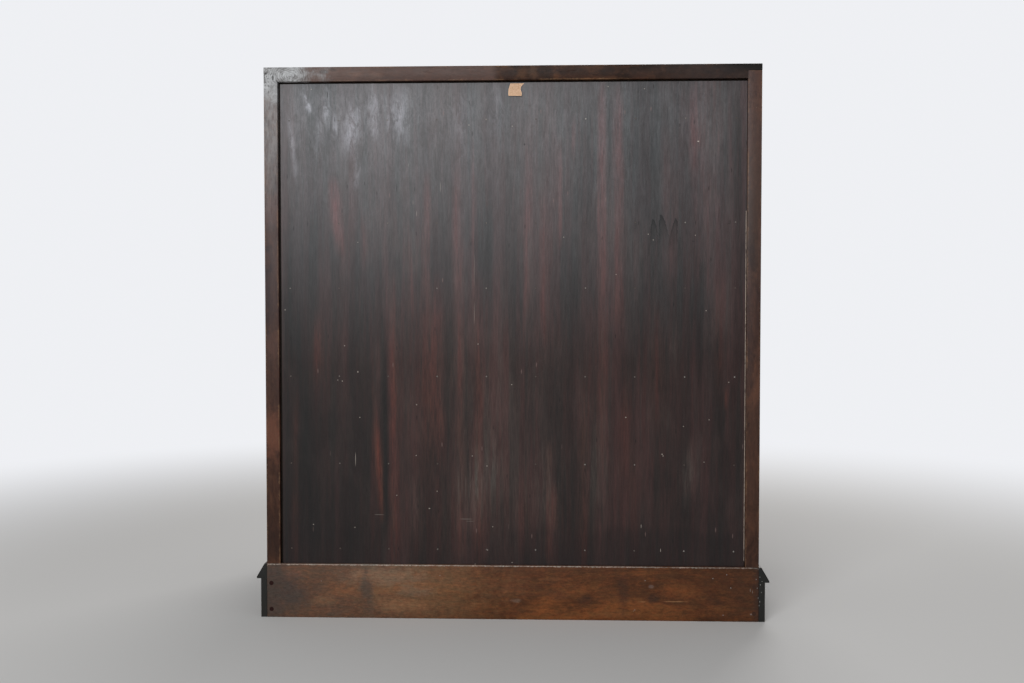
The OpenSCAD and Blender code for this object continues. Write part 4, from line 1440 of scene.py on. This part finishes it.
@dataclass
class JoinerMesh:
    """A wooden node with its arrises eased and each of its boards given its own grain.

    Args:
        node: The node that the piece stands for.
        grain: The way the grain runs.
        finish: The finish, or a function that names it from a solid's extent.
        ease: The width of the eased arrises in metres.
        axes: The directions that the boards lie along.
        least_face: Faces of recesses up to this area in square metres keep sharp edges.
    """

    node: str
    grain: Grain
    finish: str | FinishOf
    ease: float = 0.9 * MM
    axes: Axes = field(default_factory=Axes.square)
    least_face: float = 1.0

    WELD: ClassVar[float] = 0.000004
    FLAT: ClassVar[float] = math.radians(0.4)
    SHORTEST: ClassVar[float] = 16 * MM
    SHARP: ClassVar[float] = math.radians(30)
    SHADED: ClassVar[float] = 24
    SEED: ClassVar[tuple[tuple[float, float], ...]] = ((-9, 9), (-0.12, 0.12), (0.03, 0.16))

    def build(self, palette: Palette, nodes: dict[str, bpy.types.Object]) -> bpy.types.Object:
        """Makes the piece and puts it in the node's place.

        Args:
            palette: The finishes.
            nodes: The frame's nodes.

        Returns:
            The new piece.
        """
        bm = bmesh.new()
        bm.from_mesh(nodes[self.node].data)
        bmesh.ops.remove_doubles(bm, verts=bm.verts[:], dist=self.WELD)
        bmesh.ops.dissolve_limit(bm, angle_limit=self.FLAT, verts=bm.verts[:], edges=bm.edges[:])
        eased = self.ease_arrises(bm) if self.ease else set()
        names = self.mark(bm, eased)
        bm.normal_update()
        piece = shaped(bm, "wood_" + self.node, [palette[name] for name in names], self.SHADED)
        return place(piece, self.node, nodes)

    def extents(self, bm: bmesh.types.BMesh) -> list[tuple[list[bmesh.types.BMVert], Extent]]:
        """Measures each solid."""
        return [(g, Extent.of(self.axes.local(v.co) for v in g)) for g in solids(bm)]

    def ease_arrises(self, bm: bmesh.types.BMesh) -> set[bmesh.types.BMFace]:
        """Bevels the long outer edges.

        Args:
            bm: The mesh, which is changed.

        Returns:
            The new faces.
        """
        edges = []
        for group, extent in self.extents(bm):
            hidden = {v for v in group if extent.inside(self.axes.local(v.co))}
            recess = {f for v in hidden for f in v.link_faces if f.calc_area() < self.least_face}
            for edge in {e for v in group for e in v.link_edges}:
                if len(edge.link_faces) != 2 or edge.calc_length() < self.SHORTEST:
                    continue
                if not edge.is_convex or edge.calc_face_angle(0.0) < self.SHARP:
                    continue
                if not recess.intersection(edge.link_faces):
                    edges.append(edge)
        edges.sort(key=lambda e: e.index)
        made = bmesh.ops.bevel(bm, geom=edges, offset=self.ease, offset_type="OFFSET", segments=2,
                               profile=0.5, affect="EDGES", clamp_overlap=True)
        return set(made["faces"])

    def mark(self, bm: bmesh.types.BMesh, eased: set[bmesh.types.BMFace]) -> list[str]:
        """Writes each board's place, size, seed and finish into the mesh.

        Args:
            bm: The mesh, which is changed.
            eased: The faces of the arrises.

        Returns:
            The names of the finishes, in the order of the mesh's material places.
        """
        board = BoardLayers(bm)
        arris = bm.faces.layers.float.new("arris")
        names: list[str] = []
        dice = random.Random(self.node)
        for group, extent in self.extents(bm):
            order = extent.order(self.grain)
            middle, size = (extent.low + extent.high) / 2, extent.size() / 2
            seed = [dice.uniform(*span) for span in self.SEED]
            name = self.finish if isinstance(self.finish, str) else self.finish(extent)
            if name not in names:
                names.append(name)
            for vert in group:
                local = self.axes.local(vert.co) - middle
                board.write(vert, [local[i] for i in order], [size[i] for i in order], seed)
                for face in vert.link_faces:
                    face.material_index = names.index(name)
        for face in eased:
            if face.is_valid:
                face[arris] = 1.0
        return names


@dataclass
class Shop:
    """What every sub-assembly needs: the finishes and the frame's nodes."""

    palette: Palette
    nodes: dict[str, bpy.types.Object]

    def board(self, node: str, grain: Grain, finish: Wood | FinishOf, **sizes: Any) -> bpy.types.Object:
        """Makes one wooden piece.

        Args:
            node: The node that it stands for.
            grain: The way the grain runs.
            finish: Its wood, or a function that names the finish from a solid's extent.
            sizes: Other fields of JoinerMesh.

        Returns:
            The piece.
        """
        name = finish.value if isinstance(finish, Wood) else finish
        return JoinerMesh(node, grain, name, **sizes).build(self.palette, self.nodes)

    def dress(self, finish: str, *nodes: str) -> None:
        """Gives carried over nodes a finish.

        Args:
            finish: The finish's name.
            nodes: The nodes.
        """
        for name in nodes:
            for holder in self.nodes[name].material_slots:
                holder.material = self.palette[finish]
            log.info("finish %s on %s", finish, name)


# sub-assemblies


@dataclass
class Carcase:
    """The sides, the boards between them and the drawer dividers."""

    shop: Shop
    rail_front: float = -0.2

    def divider_finish(self, extent: Extent) -> str:
        """Names the finish of a divider's solids: stained rail in front, bare wood behind."""
        return Wood.CASE.value if extent.low.y < self.rail_front else Wood.PALE.value

    def build(self) -> None:
        """Makes the boards."""
        for side in SIDES:
            self.shop.board(f"side_{side}", Grain.UPRIGHT, Wood.CASE)
        self.shop.board("top_board", Grain.ACROSS, Wood.TOP, least_face=0.003)
        for node in ("bottom_board", "desk_bed", "flap_stop"):
            self.shop.board(node, Grain.ACROSS, Wood.CASE)
        for node in ("divider_upper", "divider_middle", "divider_lower"):
            self.shop.board(node, Grain.LONGEST, self.divider_finish)
        self.shop.board("top_drawer_frame", Grain.LONGEST, Wood.CASE)


@dataclass
class Plinth:
    """The plinth boards, the moulding on them and the blocks behind."""

    shop: Shop
    plug: float = 0.03

    def back_finish(self, extent: Extent) -> str:
        """Names the finish of the back board and of its dark plugs."""
        return Wood.PLINTH.value if extent.size().z > self.plug else Wood.PLUG.value

    def build(self) -> None:
        """Makes the boards."""
        self.shop.board("plinth_back", Grain.LONGEST, self.back_finish, ease=1.3 * MM)
        self.shop.board("plinth_front_rail", Grain.ACROSS, Wood.CASE)
        self.shop.board("plinth_front", Grain.ACROSS, Wood.FACING)
        self.shop.board("moulding_front", Grain.ACROSS, Wood.FACING, ease=0.6 * MM)
        for side in SIDES:
            self.shop.board(f"plinth_{side}", Grain.DEPTH, Wood.FACING)
            self.shop.board(f"moulding_{side}", Grain.DEPTH, Wood.FACING, ease=0.6 * MM)
        self.shop.board("glue_blocks", Grain.UPRIGHT, Wood.PALE)


@dataclass
class Gallery:
    """The shelf, uprights and small drawers behind the flap."""

    shop: Shop
    front: float = 0.056
    face: float = 0.016
    knob: float = 0.03

    def drawer_finish(self, extent: Extent) -> str:
        """Names the finish of a small drawer's solids: stained front and knob, bare wood behind."""
        if extent.size().x < self.knob and extent.low.y < self.front - self.face:
            return Wood.DARK.value
        return Wood.FRONT.value if extent.high.y < self.front else Wood.PALE.value

    def build(self) -> None:
        """Makes the boards and the drawers."""
        grains = {"shelf": Grain.ACROSS, "uprights": Grain.UPRIGHT, "drawer_tops": Grain.ACROSS}
        for node, grain in grains.items():
            self.shop.board(f"gallery_{node}", grain, Wood.FRONT, ease=0.7 * MM)
        for side in SIDES:
            self.shop.board(f"small_drawer_{side}", Grain.LONGEST, self.drawer_finish, ease=0.5 * MM)


@dataclass
class Flap:
    """The writing flap with its hinges, lock and key."""

    shop: Shop

    def build(self) -> None:
        """Makes the boards and dresses the metal."""
        slope = Axes.sloping()
        self.shop.board("flap_board", Grain.ACROSS, Wood.FRONT, axes=slope)
        for side in SIDES:
            self.shop.board(f"flap_end_{side}", Grain.UPRIGHT, Wood.FRONT, axes=slope)
        self.shop.dress("old_brass", "hinge_bed_leaves", "hinge_flap_leaves", "lock_strike", "flap_lock",
                        "flap_escutcheon")
        self.shop.dress("old_steel", "hinge_pins", "flap_key", "flap_lock_bolt")


@dataclass
class Supports:
    """The two bearers that pull out under the open flap."""

    shop: Shop
    knob: float = 0.05

    def finish(self, extent: Extent) -> str:
        """Names the finish of the bearer and of its knob."""
        return Wood.FRONT.value if extent.size().y > self.knob else Wood.DARK.value

    def build(self) -> None:
        """Makes the bearers."""
        for side in SIDES:
            self.shop.board(f"loper_{side}", Grain.DEPTH, self.finish)


@dataclass
class Drawers:
    """The four long drawers and their handles."""

    shop: Shop

    def build(self) -> None:
        """Makes the wood and dresses the metal."""
        for i in DRAWERS:
            self.shop.board(f"drawer_{i}_front", Grain.ACROSS, Wood.FRONT, ease=1.1 * MM)
            self.shop.board(f"drawer_{i}_box", Grain.LONGEST, Wood.PALE, ease=0.5 * MM)
            self.shop.dress("old_brass", f"drawer_{i}_posts")
            for side in SIDES:
                self.shop.dress("old_brass", f"bail_{i}_{side}")


@dataclass(frozen=True)
class Streak:
    """One upright mark in the stain, in millimetres on the back."""

    x: float
    half: float
    top: float
    foot: float
    strength: float
    lean: float = 0.0
    ends: float = 45.0
    crisp: float = 2.0

    REACH: ClassVar[float] = 2.2
    MARGIN: ClassVar[float] = 3.0
    WANDER: ClassVar[float] = 2.5
    FALL: ClassVar[float] = 1.4

    def at(self, x: float, z: float) -> float:
        """Gives the mark's strength at a point.

        Args:
            x: Millimetres to the right of the middle.
            z: Millimetres above the floor.

        Returns:
            A strength from 0 to 1.
        """
        if abs(x - self.x) > self.REACH * self.half + abs(self.lean) + self.MARGIN:
            return 0.0
        share = (self.top - z) / max(self.top - self.foot, 1.0)
        wander = self.WANDER * noise.noise(Vector((self.x * 0.37, z * 0.011, 3.0)))
        off = abs(x - self.x - self.lean * (share - 0.5) - wander) / self.half
        if off > self.REACH or z > self.top + self.ends or z < self.foot - self.ends:
            return 0.0
        above, below = self.top + self.ends - z, z - self.foot + self.ends
        fade = min(1.0, above / (2 * self.ends), below / (2 * self.ends))
        return self.strength * math.exp(-self.FALL * off ** self.crisp) * max(0.0, fade)


@dataclass
class BackSheet:
    """The plywood back, its marks with painted sheen and a painted highlight, dark beads of painted shade
    behind its gaps, its brads and a scrap of paper left on it.
    """

    shop: Shop
    columns: int = 216
    rows: int = 150
    bow: float = 0.35 * MM
    # Bare plywood edge on the -X side, from and to these heights in millimetres, which is also a painted
    # highlight of its lit rabbet wall.
    bare_edge: tuple[float, float] = (108.0, 745.0)
    red: tuple[Streak, ...] = listed(
        Streak, (248, 5.5, 400, 250, 0.4, -9, 40), (240, 5.5, 330, 196, 1.0, -6, 26),
        (247, 7, 330, 240, 0.25), (215.5, 9, 600, 120, 0.34), (216.5, 5, 470, 360, 0.3),
        (146, 24, 600, 330, 0.3), (60, 8, 600, 110, 0.3, -2), (55, 3, 440, 375, 0.5, -2, 20),
        (93.5, 8, 700, 110, 0.26, -3), (128.5, 6, 420, 300, 0.2), (-30.5, 7, 816, 560, 0.42, 4, 45, 3.0),
        (-27.5, 3, 900, 830, 0.3), (-164.5, 9, 950, 600, 0.44, 0, 30, 4.0),
        (-194.5, 9, 950, 560, 0.36, 0, 30, 4.0), (-89, 5, 862, 700, 0.5, 0, 30, 3.0),
        (-113.5, 3, 902, 850, 0.5, 0, 18), (-58.5, 7, 790, 520, 0.34, -4), (-330.5, 14, 948, 830, 0.36),
        (-336.5, 2, 892, 862, 0.7, 0, 10), (-281, 7, 860, 760, 0.3), (-374.5, 2.5, 900, 850, 0.45),
        (-349, 26, 830, 620, 0.2), (-286, 7, 700, 620, 0.2), (355, 10, 545, 455, 0.34, 0, 25),
        (398, 7, 390, 120, 0.3), (-390, 3, 424, 392, 0.5, 2, 10), (-69.5, 7, 320, 110, 0.3, 0, 16),
        (-78.5, 9, 240, 172, 0.3, 0, 14), (-23.5, 12, 240, 150, 0.2),
        (318, 11, 790, 685, 0.72, -8, 25, 3.0), (266, 9, 730, 660, 0.3, 0, 25),
        (154, 8, 800, 600, 0.36, 0, 30, 3.0), (101.5, 7, 800, 600, 0.36), (68, 3, 850, 560, 0.4),
        (183.5, 9, 700, 560, 0.24), (146, 105, 600, 110, 0.13), (-132.5, 8, 420, 110, 0.28),
        (-166.5, 9, 600, 300, 0.26), (-208, 9, 420, 300, 0.3), (-264.5, 18, 560, 380, 0.2),
        (-377.5, 9, 620, 420, 0.2), (-223, 12, 300, 160, 0.16), (-65.5, 150, 560, 110, 0.07),
    )
    dark: tuple[Streak, ...] = listed(
        Streak, (230, 7, 520, 150, 0.8, -3), (116.5, 8, 540, 120, 0.5), (345, 85, 380, 110, 0.5),
        (318, 30, 460, 330, 0.25), (-177.5, 4, 945, 780, 0.5), (-46.5, 8, 300, 110, 0.3),
        (-138.5, 12, 960, 700, 0.3), (-411.5, 10, 900, 200, 0.35), (408, 9, 960, 300, 0.3),
        (240.5, 9, 640, 500, 0.35), (42, 7, 760, 560, 0.3), (-259.5, 45, 960, 780, 0.25, 0, 45, 4.0),
        (-315.5, 22, 400, 110, 0.3), (-113.5, 12, 640, 300, 0.35), (-183.5, 7, 440, 110, 0.35),
        (-368, 9, 420, 110, 0.2),
    )
    wisps: tuple[Streak, ...] = listed(
        Streak, (400, 4.5, 915, 820, 0.45, -10, 30), (374, 5.5, 958, 930, 1.0, -9, 9, 3.0),
        (338, 9, 958, 915, 0.6, 0, 20), (290, 18, 932, 862, 0.6, 6, 24), (322, 9, 916, 884, 0.45, 0, 16),
        (250, 11, 960, 890, 0.5, 4, 22), (201.5, 19, 955, 880, 0.42, 0, 26, 3.0),
        (91, 15, 965, 860, 0.12, 0, 30), (353, 7, 905, 858, 0.3, 0, 20), (224, 5, 945, 900, 0.5, 0, 14),
        (24.5, 12, 962, 900, 0.2, 0, 24), (280, 5, 850, 790, 0.35, 3, 20),
    )
    scuffs: tuple[Streak, ...] = listed(
        Streak, (34.5, 130, 500, 130, 0.13, 0, 70), (-65.5, 30, 300, 180, 0.2), (-155.5, 26, 340, 190, 0.2),
        (64, 13, 292, 196, 0.55), (34.5, 16, 330, 230, 0.3), (-326.5, 14, 300, 240, 0.5, 6),
        (-294, 10, 520, 470, 0.3), (176.5, 10, 235, 180, 0.35), (95.5, 3.5, 288, 210, 0.4),
    )

    TOUCH: ClassVar[float] = 0.000001
    BARE: ClassVar[float] = 0.95
    SEED: ClassVar[Triple] = (3.7, 0.2, 0.05)
    BEAD_SEED: ClassVar[Triple] = (1.3, 0.4, 0.7)
    BEAD_HALF: ClassVar[Triple] = (1.0, 0.01, 0.01)
    SCRAP_LEFT: ClassVar[tuple[tuple[float, float], ...]] = (
        (4.6, 953.6), (4.8, 960.0), (4.0, 966.5), (2.0, 973.0), (0.8, 975.9),
    )
    SCRAP_RIGHT: ClassVar[tuple[tuple[float, float], ...]] = (
        (-19.2, 953.0), (-19.5, 958.5), (-17.4, 965.0), (-17.8, 969.5), (-23.6, 976.0),
    )
    SCRAP_STEPS: ClassVar[int] = 14
    SCRAP_THICK: ClassVar[float] = 0.0003
    SCRAP_LIFT: ClassVar[float] = 0.0022
    SCRAP_GAP: ClassVar[float] = 0.00002

    def grid(self) -> tuple[Vector, Vector]:
        """Gives the corners of the panel."""
        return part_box("back_panel")

    @staticmethod
    def film(x: float, z: float) -> float:
        """Gives the strength of the cloudy varnish and of the painted sheen of the window's reflection, both
        strongest at the top on the +X side, the window's side.

        Args:
            x: Millimetres to the right of the middle.
            z: Millimetres above the floor.

        Returns:
            A strength from 0 to 1.
        """
        rise = ramp(z, 470, 920)
        rim = ramp(x, 385, 425) + 0.3 * ramp(z, 948, 966) + 1.3 * ramp(-x, 370, 420)
        side = 0.565 + 0.14 * ramp(x, 0, 260) * rise - 0.09 * ramp(-x, 0, 400)
        return rise * side * (1.0 - 0.4 * min(1.0, rim))

    @staticmethod
    def foot(x: float, z: float) -> float:
        """Gives the strength of the darker band along the bottom, wavy at its upper edge.

        Args:
            x: Millimetres to the right of the middle.
            z: Millimetres above the floor.

        Returns:
            A strength from 0 to 1.
        """
        wave, ripple = (noise.noise(Vector(at)) for at in ((x * 0.012, 0.0, 8.0), (x * 0.05, 4.0, 8.0)))
        top = 172 + 16 * (wave + 0.5 * ripple)
        return (0.35 + 0.65 * ramp(-x, -120, 180)) * ramp(top - z, 0, 16)

    def build(self) -> None:
        """Makes the sheet and the dark beads of painted shade behind its gaps, dresses the brads and sticks
        on the scrap.
        """
        self.sheet()
        self.packing()
        self.shop.dress("brad_steel", "back_brads")
        self.scrap()

    def outer_face(self, bm: bmesh.types.BMesh) -> list[list[bmesh.types.BMVert]]:
        """Makes the sheet's outer face, with a slight bow between its brads.

        Args:
            bm: The mesh, which is changed.

        Returns:
            The columns of its vertices, each from the bottom up.
        """
        low, high = self.grid()
        size = high - low
        table = []
        for i in range(self.columns + 1):
            line = []
            for j in range(self.rows + 1):
                x, z = low.x + size.x * i / self.columns, low.z + size.z * j / self.rows
                rim = min(i, j, self.columns - i, self.rows - j)
                dip = 0.0 if rim == 0 else self.bow * (noise.noise(Vector((x * 7, z * 5, 1.0))) - 1.0) * 0.5
                line.append(bm.verts.new((x, high.y + dip, z)))
            table.append(line)
        for i in range(self.columns):
            for j in range(self.rows):
                bm.faces.new((table[i][j], table[i][j + 1], table[i + 1][j + 1], table[i + 1][j]))
        return table

    def sheet(self) -> bpy.types.Object:
        """Makes the plywood sheet with the marks in its stain.

        Returns:
            The sheet.
        """
        low, high = self.grid()
        size, middle = high - low, (low + high) / 2
        bm = bmesh.new()
        board = BoardLayers(bm)
        marks = {name: bm.verts.layers.float.new(name) for name in PanelStain.MARKS}
        table = self.outer_face(bm)
        streaks = {"red": self.red, "black": self.dark, "dust": self.scuffs, "wisp": self.wisps}
        for vert in bm.verts:
            x, z = vert.co.x / MM, vert.co.z / MM
            for name, found in streaks.items():
                vert[marks[name]] = min(1.0, sum(streak.at(x, z) for streak in found))
            # Film: cloudy varnish and the painted sheen of the window's reflection.
            vert[marks["film"]] = self.film(x, z)
            vert[marks["foot"]] = self.foot(x, z)
        rim = [line[0] for line in table] + table[-1][1:] + [line[-1] for line in reversed(table[:-1])]
        rim += [table[0][j] for j in range(self.rows - 1, 0, -1)]
        inner = [bm.verts.new((v.co.x, low.y, v.co.z)) for v in rim]
        bare = max(v.co.x for v in rim) - size.x
        for k, vert in enumerate(rim):
            after = (k + 1) % len(rim)
            bm.faces.new((vert, rim[after], inner[after], inner[k]))
            # Bare plywood edge, which is also a painted highlight of the lit rabbet wall.
            if abs(vert.co.x - bare) < self.TOUCH and self.bare_edge[0] < vert.co.z / MM < self.bare_edge[1]:
                vert[marks["edge"]] = inner[k][marks["edge"]] = self.BARE
        bm.faces.new(inner)
        for vert in bm.verts:
            local = vert.co - middle
            board.write(vert, (local.z, local.x, local.y), Vector((size.z, size.x, size.y)) / 2, self.SEED)
        bmesh.ops.recalc_face_normals(bm, faces=bm.faces[:])
        sheet = shaped(bm, "back_sheet", [self.shop.palette["panel_stain"]], sharp=40)
        return place(sheet, "back_panel", self.shop.nodes)

    def packing(self) -> bpy.types.Object:
        """Makes dark beads behind the sheet's open joints, on the +X side and at the top, as painted shade so
        that the gaps read black.

        Returns:
            The beads.
        """
        low, high = self.grid()
        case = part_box("side_right")[0].x
        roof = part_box("top_board")[0].z
        slack, deep, swell = 0.05 * MM, 2.0 * MM, 0.5 * MM
        bm = bmesh.new()
        board = BoardLayers(bm)
        runs = (
            ((high.x + slack, case - slack), (low.z, high.z - slack), False),
            ((high.z + slack, roof - slack), (low.x, case - slack), True),
        )
        for (near, far), ends, level in runs:
            middle = (near + far) / 2
            profile = ((near, 0.0), (far, 0.0), (far, deep), (middle, deep + swell), (near, deep))
            rings = []
            for end in ends:
                ring = []
                for across, out in profile:
                    x, z = (end, across) if level else (across, end)
                    vert = bm.verts.new((x, low.y + slack + out, z))
                    board.write(vert, (z, x, out), self.BEAD_HALF, self.BEAD_SEED)
                    ring.append(vert)
                rings.append(ring)
                bm.faces.new(ring)
            for k in range(len(profile)):
                after = (k + 1) % len(profile)
                bm.faces.new((rings[0][k], rings[0][after], rings[1][after], rings[1][k]))
        bmesh.ops.recalc_face_normals(bm, faces=bm.faces[:])
        # Dark beads of painted shade in the gaps.
        piece = shaped(bm, "back_packing", [self.shop.palette[Wood.DARK.value]])
        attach(piece, "carcase")
        log.info("piece %s", piece.name)
        return piece

    def paper(self, bm: bmesh.types.BMesh, thick: float) -> list[list[bmesh.types.BMVert]]:
        """Makes the vertices of one side of the scrap, which curls off the sheet at its lower edge.

        Args:
            bm: The mesh, which is changed.
            thick: How far this side lies out from the paper's underside, in metres.

        Returns:
            The rows of vertices, from the lower edge up.
        """
        y = self.grid()[1].y
        torn = bm.verts.layers.float["torn"]
        table = []
        for row in range(len(self.SCRAP_LEFT) * 3 - 2):
            share = row / 3
            below = int(min(share, len(self.SCRAP_LEFT) - 2))
            part = share - below
            (left, left_z), (right, right_z) = (
                tuple((1 - part) * p + part * q for p, q in zip(edge[below], edge[below + 1]))
                for edge in (self.SCRAP_LEFT, self.SCRAP_RIGHT)
            )
            line = []
            for column in range(self.SCRAP_STEPS + 1):
                t = column / self.SCRAP_STEPS
                at_side = column in (0, self.SCRAP_STEPS)
                ragged = 0.35 * noise.noise(Vector((row * 1.7, t * 9.0, 2.0)))
                x = (1 - t) * left + t * right + (ragged if at_side else 0.0)
                z = (1 - t) * left_z + t * right_z + (0.5 * ragged if row == 0 else 0.0)
                curl = self.SCRAP_LIFT * max(0.0, 1 - share / 1.3) ** 2 * (0.55 + 0.45 * t)
                vert = bm.verts.new((x * MM, y + self.SCRAP_GAP + curl + thick, z * MM))
                vert[torn] = 1.0 if row == 0 or at_side else 0.0
                line.append(vert)
            table.append(line)
        return table

    def scrap(self) -> bpy.types.Object:
        """Makes the torn scrap of paper under the top board.

        Returns:
            The scrap.
        """
        bm = bmesh.new()
        bm.verts.layers.float.new("torn")
        under, over = self.paper(bm, 0.0), self.paper(bm, self.SCRAP_THICK)
        last, steps = len(under) - 1, self.SCRAP_STEPS
        for r in range(last):
            for c in range(steps):
                for table in (under, over):
                    bm.faces.new((table[r][c], table[r][c + 1], table[r + 1][c + 1], table[r + 1][c]))
            for c in (0, steps):
                bm.faces.new((under[r][c], over[r][c], over[r + 1][c], under[r + 1][c]))
        for c in range(steps):
            for r in (0, last):
                bm.faces.new((under[r][c], under[r][c + 1], over[r][c + 1], over[r][c]))
        bmesh.ops.recalc_face_normals(bm, faces=bm.faces[:])
        piece = shaped(bm, "paper_scrap", [self.shop.palette["gummed_paper"]], sharp=50)
        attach(piece, "carcase")
        log.info("piece %s", piece.name)
        return piece


# studio


def aim(thing: bpy.types.Object, at: Sequence[float], ahead: Vector) -> None:
    """Puts a lamp or camera at a place, facing a direction.

    Args:
        thing: The lamp or camera.
        at: Its place.
        ahead: The direction.
    """
    thing.location = at
    thing.rotation_mode = "QUATERNION"
    thing.rotation_quaternion = ahead.to_track_quat("-Z", "Y")


@dataclass(frozen=True)
class Lamp:
    """One soft rectangular lamp.

    Args:
        name: The lamp's name.
        at: Its place.
        target: What it points at.
        size: Its width and height in metres.
        radiance: Its brightness, where 1 is as bright as a white surface in full light.
        tint: Its colour.
    """

    name: str
    at: Triple
    target: Triple
    size: tuple[float, float]
    radiance: float
    tint: Colour = (1.0, 1.0, 1.0)

    def hang(self) -> bpy.types.Object:
        """Hangs the lamp.

        Returns:
            The lamp.
        """
        light = bpy.data.lights.new(self.name, "AREA")
        light.shape = "RECTANGLE"
        width, height = self.size
        light.size, light.size_y = width, height
        light.energy = self.radiance * math.pi * width * height
        light.color = self.tint
        lamp = in_scene(self.name, light)
        aim(lamp, self.at, Vector(self.target) - Vector(self.at))
        return lamp


@dataclass
class Studio:
    """The floor, the lamps, the white surroundings and the camera."""

    shop: Shop
    eye: Sequence[float] = (-0.0643, 2.0617, 0.5634)
    yaw: float = 0.0341
    pitch: float = -0.02969
    lens: float = 35.363
    sensor: float = 36.0
    surround: float = 0.32
    floor_radius: float = 30.0
    floor_sides: int = 96
    lamps: tuple[Lamp, ...] = (
        Lamp("window", (0.95, 3.5, 2.05), (0.1, 0.2, 0.6), (2.2, 1.6), 8.5, (0.95, 0.98, 1.0)),
        Lamp("front_lamp", (-0.9, -3.3, 2.3), (0.0, -0.2, 0.5), (2.4, 1.8), 5.5),
    )

    def surroundings(self) -> None:
        """Makes the world: soft light on the bureau and white to the camera."""
        world = bpy.data.worlds.new("studio")
        world.use_nodes = True
        bpy.context.scene.world = world
        tree = world.node_tree
        tree.nodes.clear()
        path, seen, lit, either, out = (
            tree.nodes.new("ShaderNode" + kind)
            for kind in ("LightPath", "Background", "Background", "MixShader", "OutputWorld")
        )
        seen.inputs[0].default_value = rgba(STUDIO_WHITE)
        lit.inputs[1].default_value = self.surround
        tree.links.new(path.outputs["Is Camera Ray"], either.inputs[0])
        tree.links.new(lit.outputs[0], either.inputs[1])
        tree.links.new(seen.outputs[0], either.inputs[2])
        tree.links.new(either.outputs[0], out.inputs[0])

    def floor(self) -> bpy.types.Object:
        """Lays the floor.

        Returns:
            The floor.
        """
        bm = bmesh.new()
        bmesh.ops.create_circle(bm, cap_ends=True, segments=self.floor_sides, radius=self.floor_radius)
        floor = shaped(bm, "floor", [self.shop.palette["studio_floor"]])
        return floor

    def camera(self) -> bpy.types.Object:
        """Sets the camera at the bureau's back.

        Returns:
            The camera.
        """
        data = bpy.data.cameras.new("camera")
        data.sensor_width, data.lens = self.sensor, self.lens
        camera = in_scene("camera", data)
        flat = math.cos(self.pitch)
        ahead = Vector((math.sin(self.yaw) * flat, -math.cos(self.yaw) * flat, math.sin(self.pitch)))
        aim(camera, self.eye, ahead)
        bpy.context.scene.camera = camera
        return camera

    def build(self) -> None:
        """Sets up the whole studio."""
        self.floor()
        self.surroundings()
        for lamp in self.lamps:
            lamp.hang()
        self.camera()
        bpy.context.scene.view_settings.view_transform = "Standard"


def main() -> None:
    """Builds the bureau and its studio."""
    logging.basicConfig(level=logging.INFO, format="%(name)s: %(message)s")
    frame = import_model()
    shop = Shop(Palette().build(), frame["nodes"])
    for group in (Carcase, BackSheet, Plinth, Gallery, Flap, Supports, Drawers, Studio):
        group(shop).build()
        log.info("built %s", group.__name__)


if __name__ == "__main__":
    main()
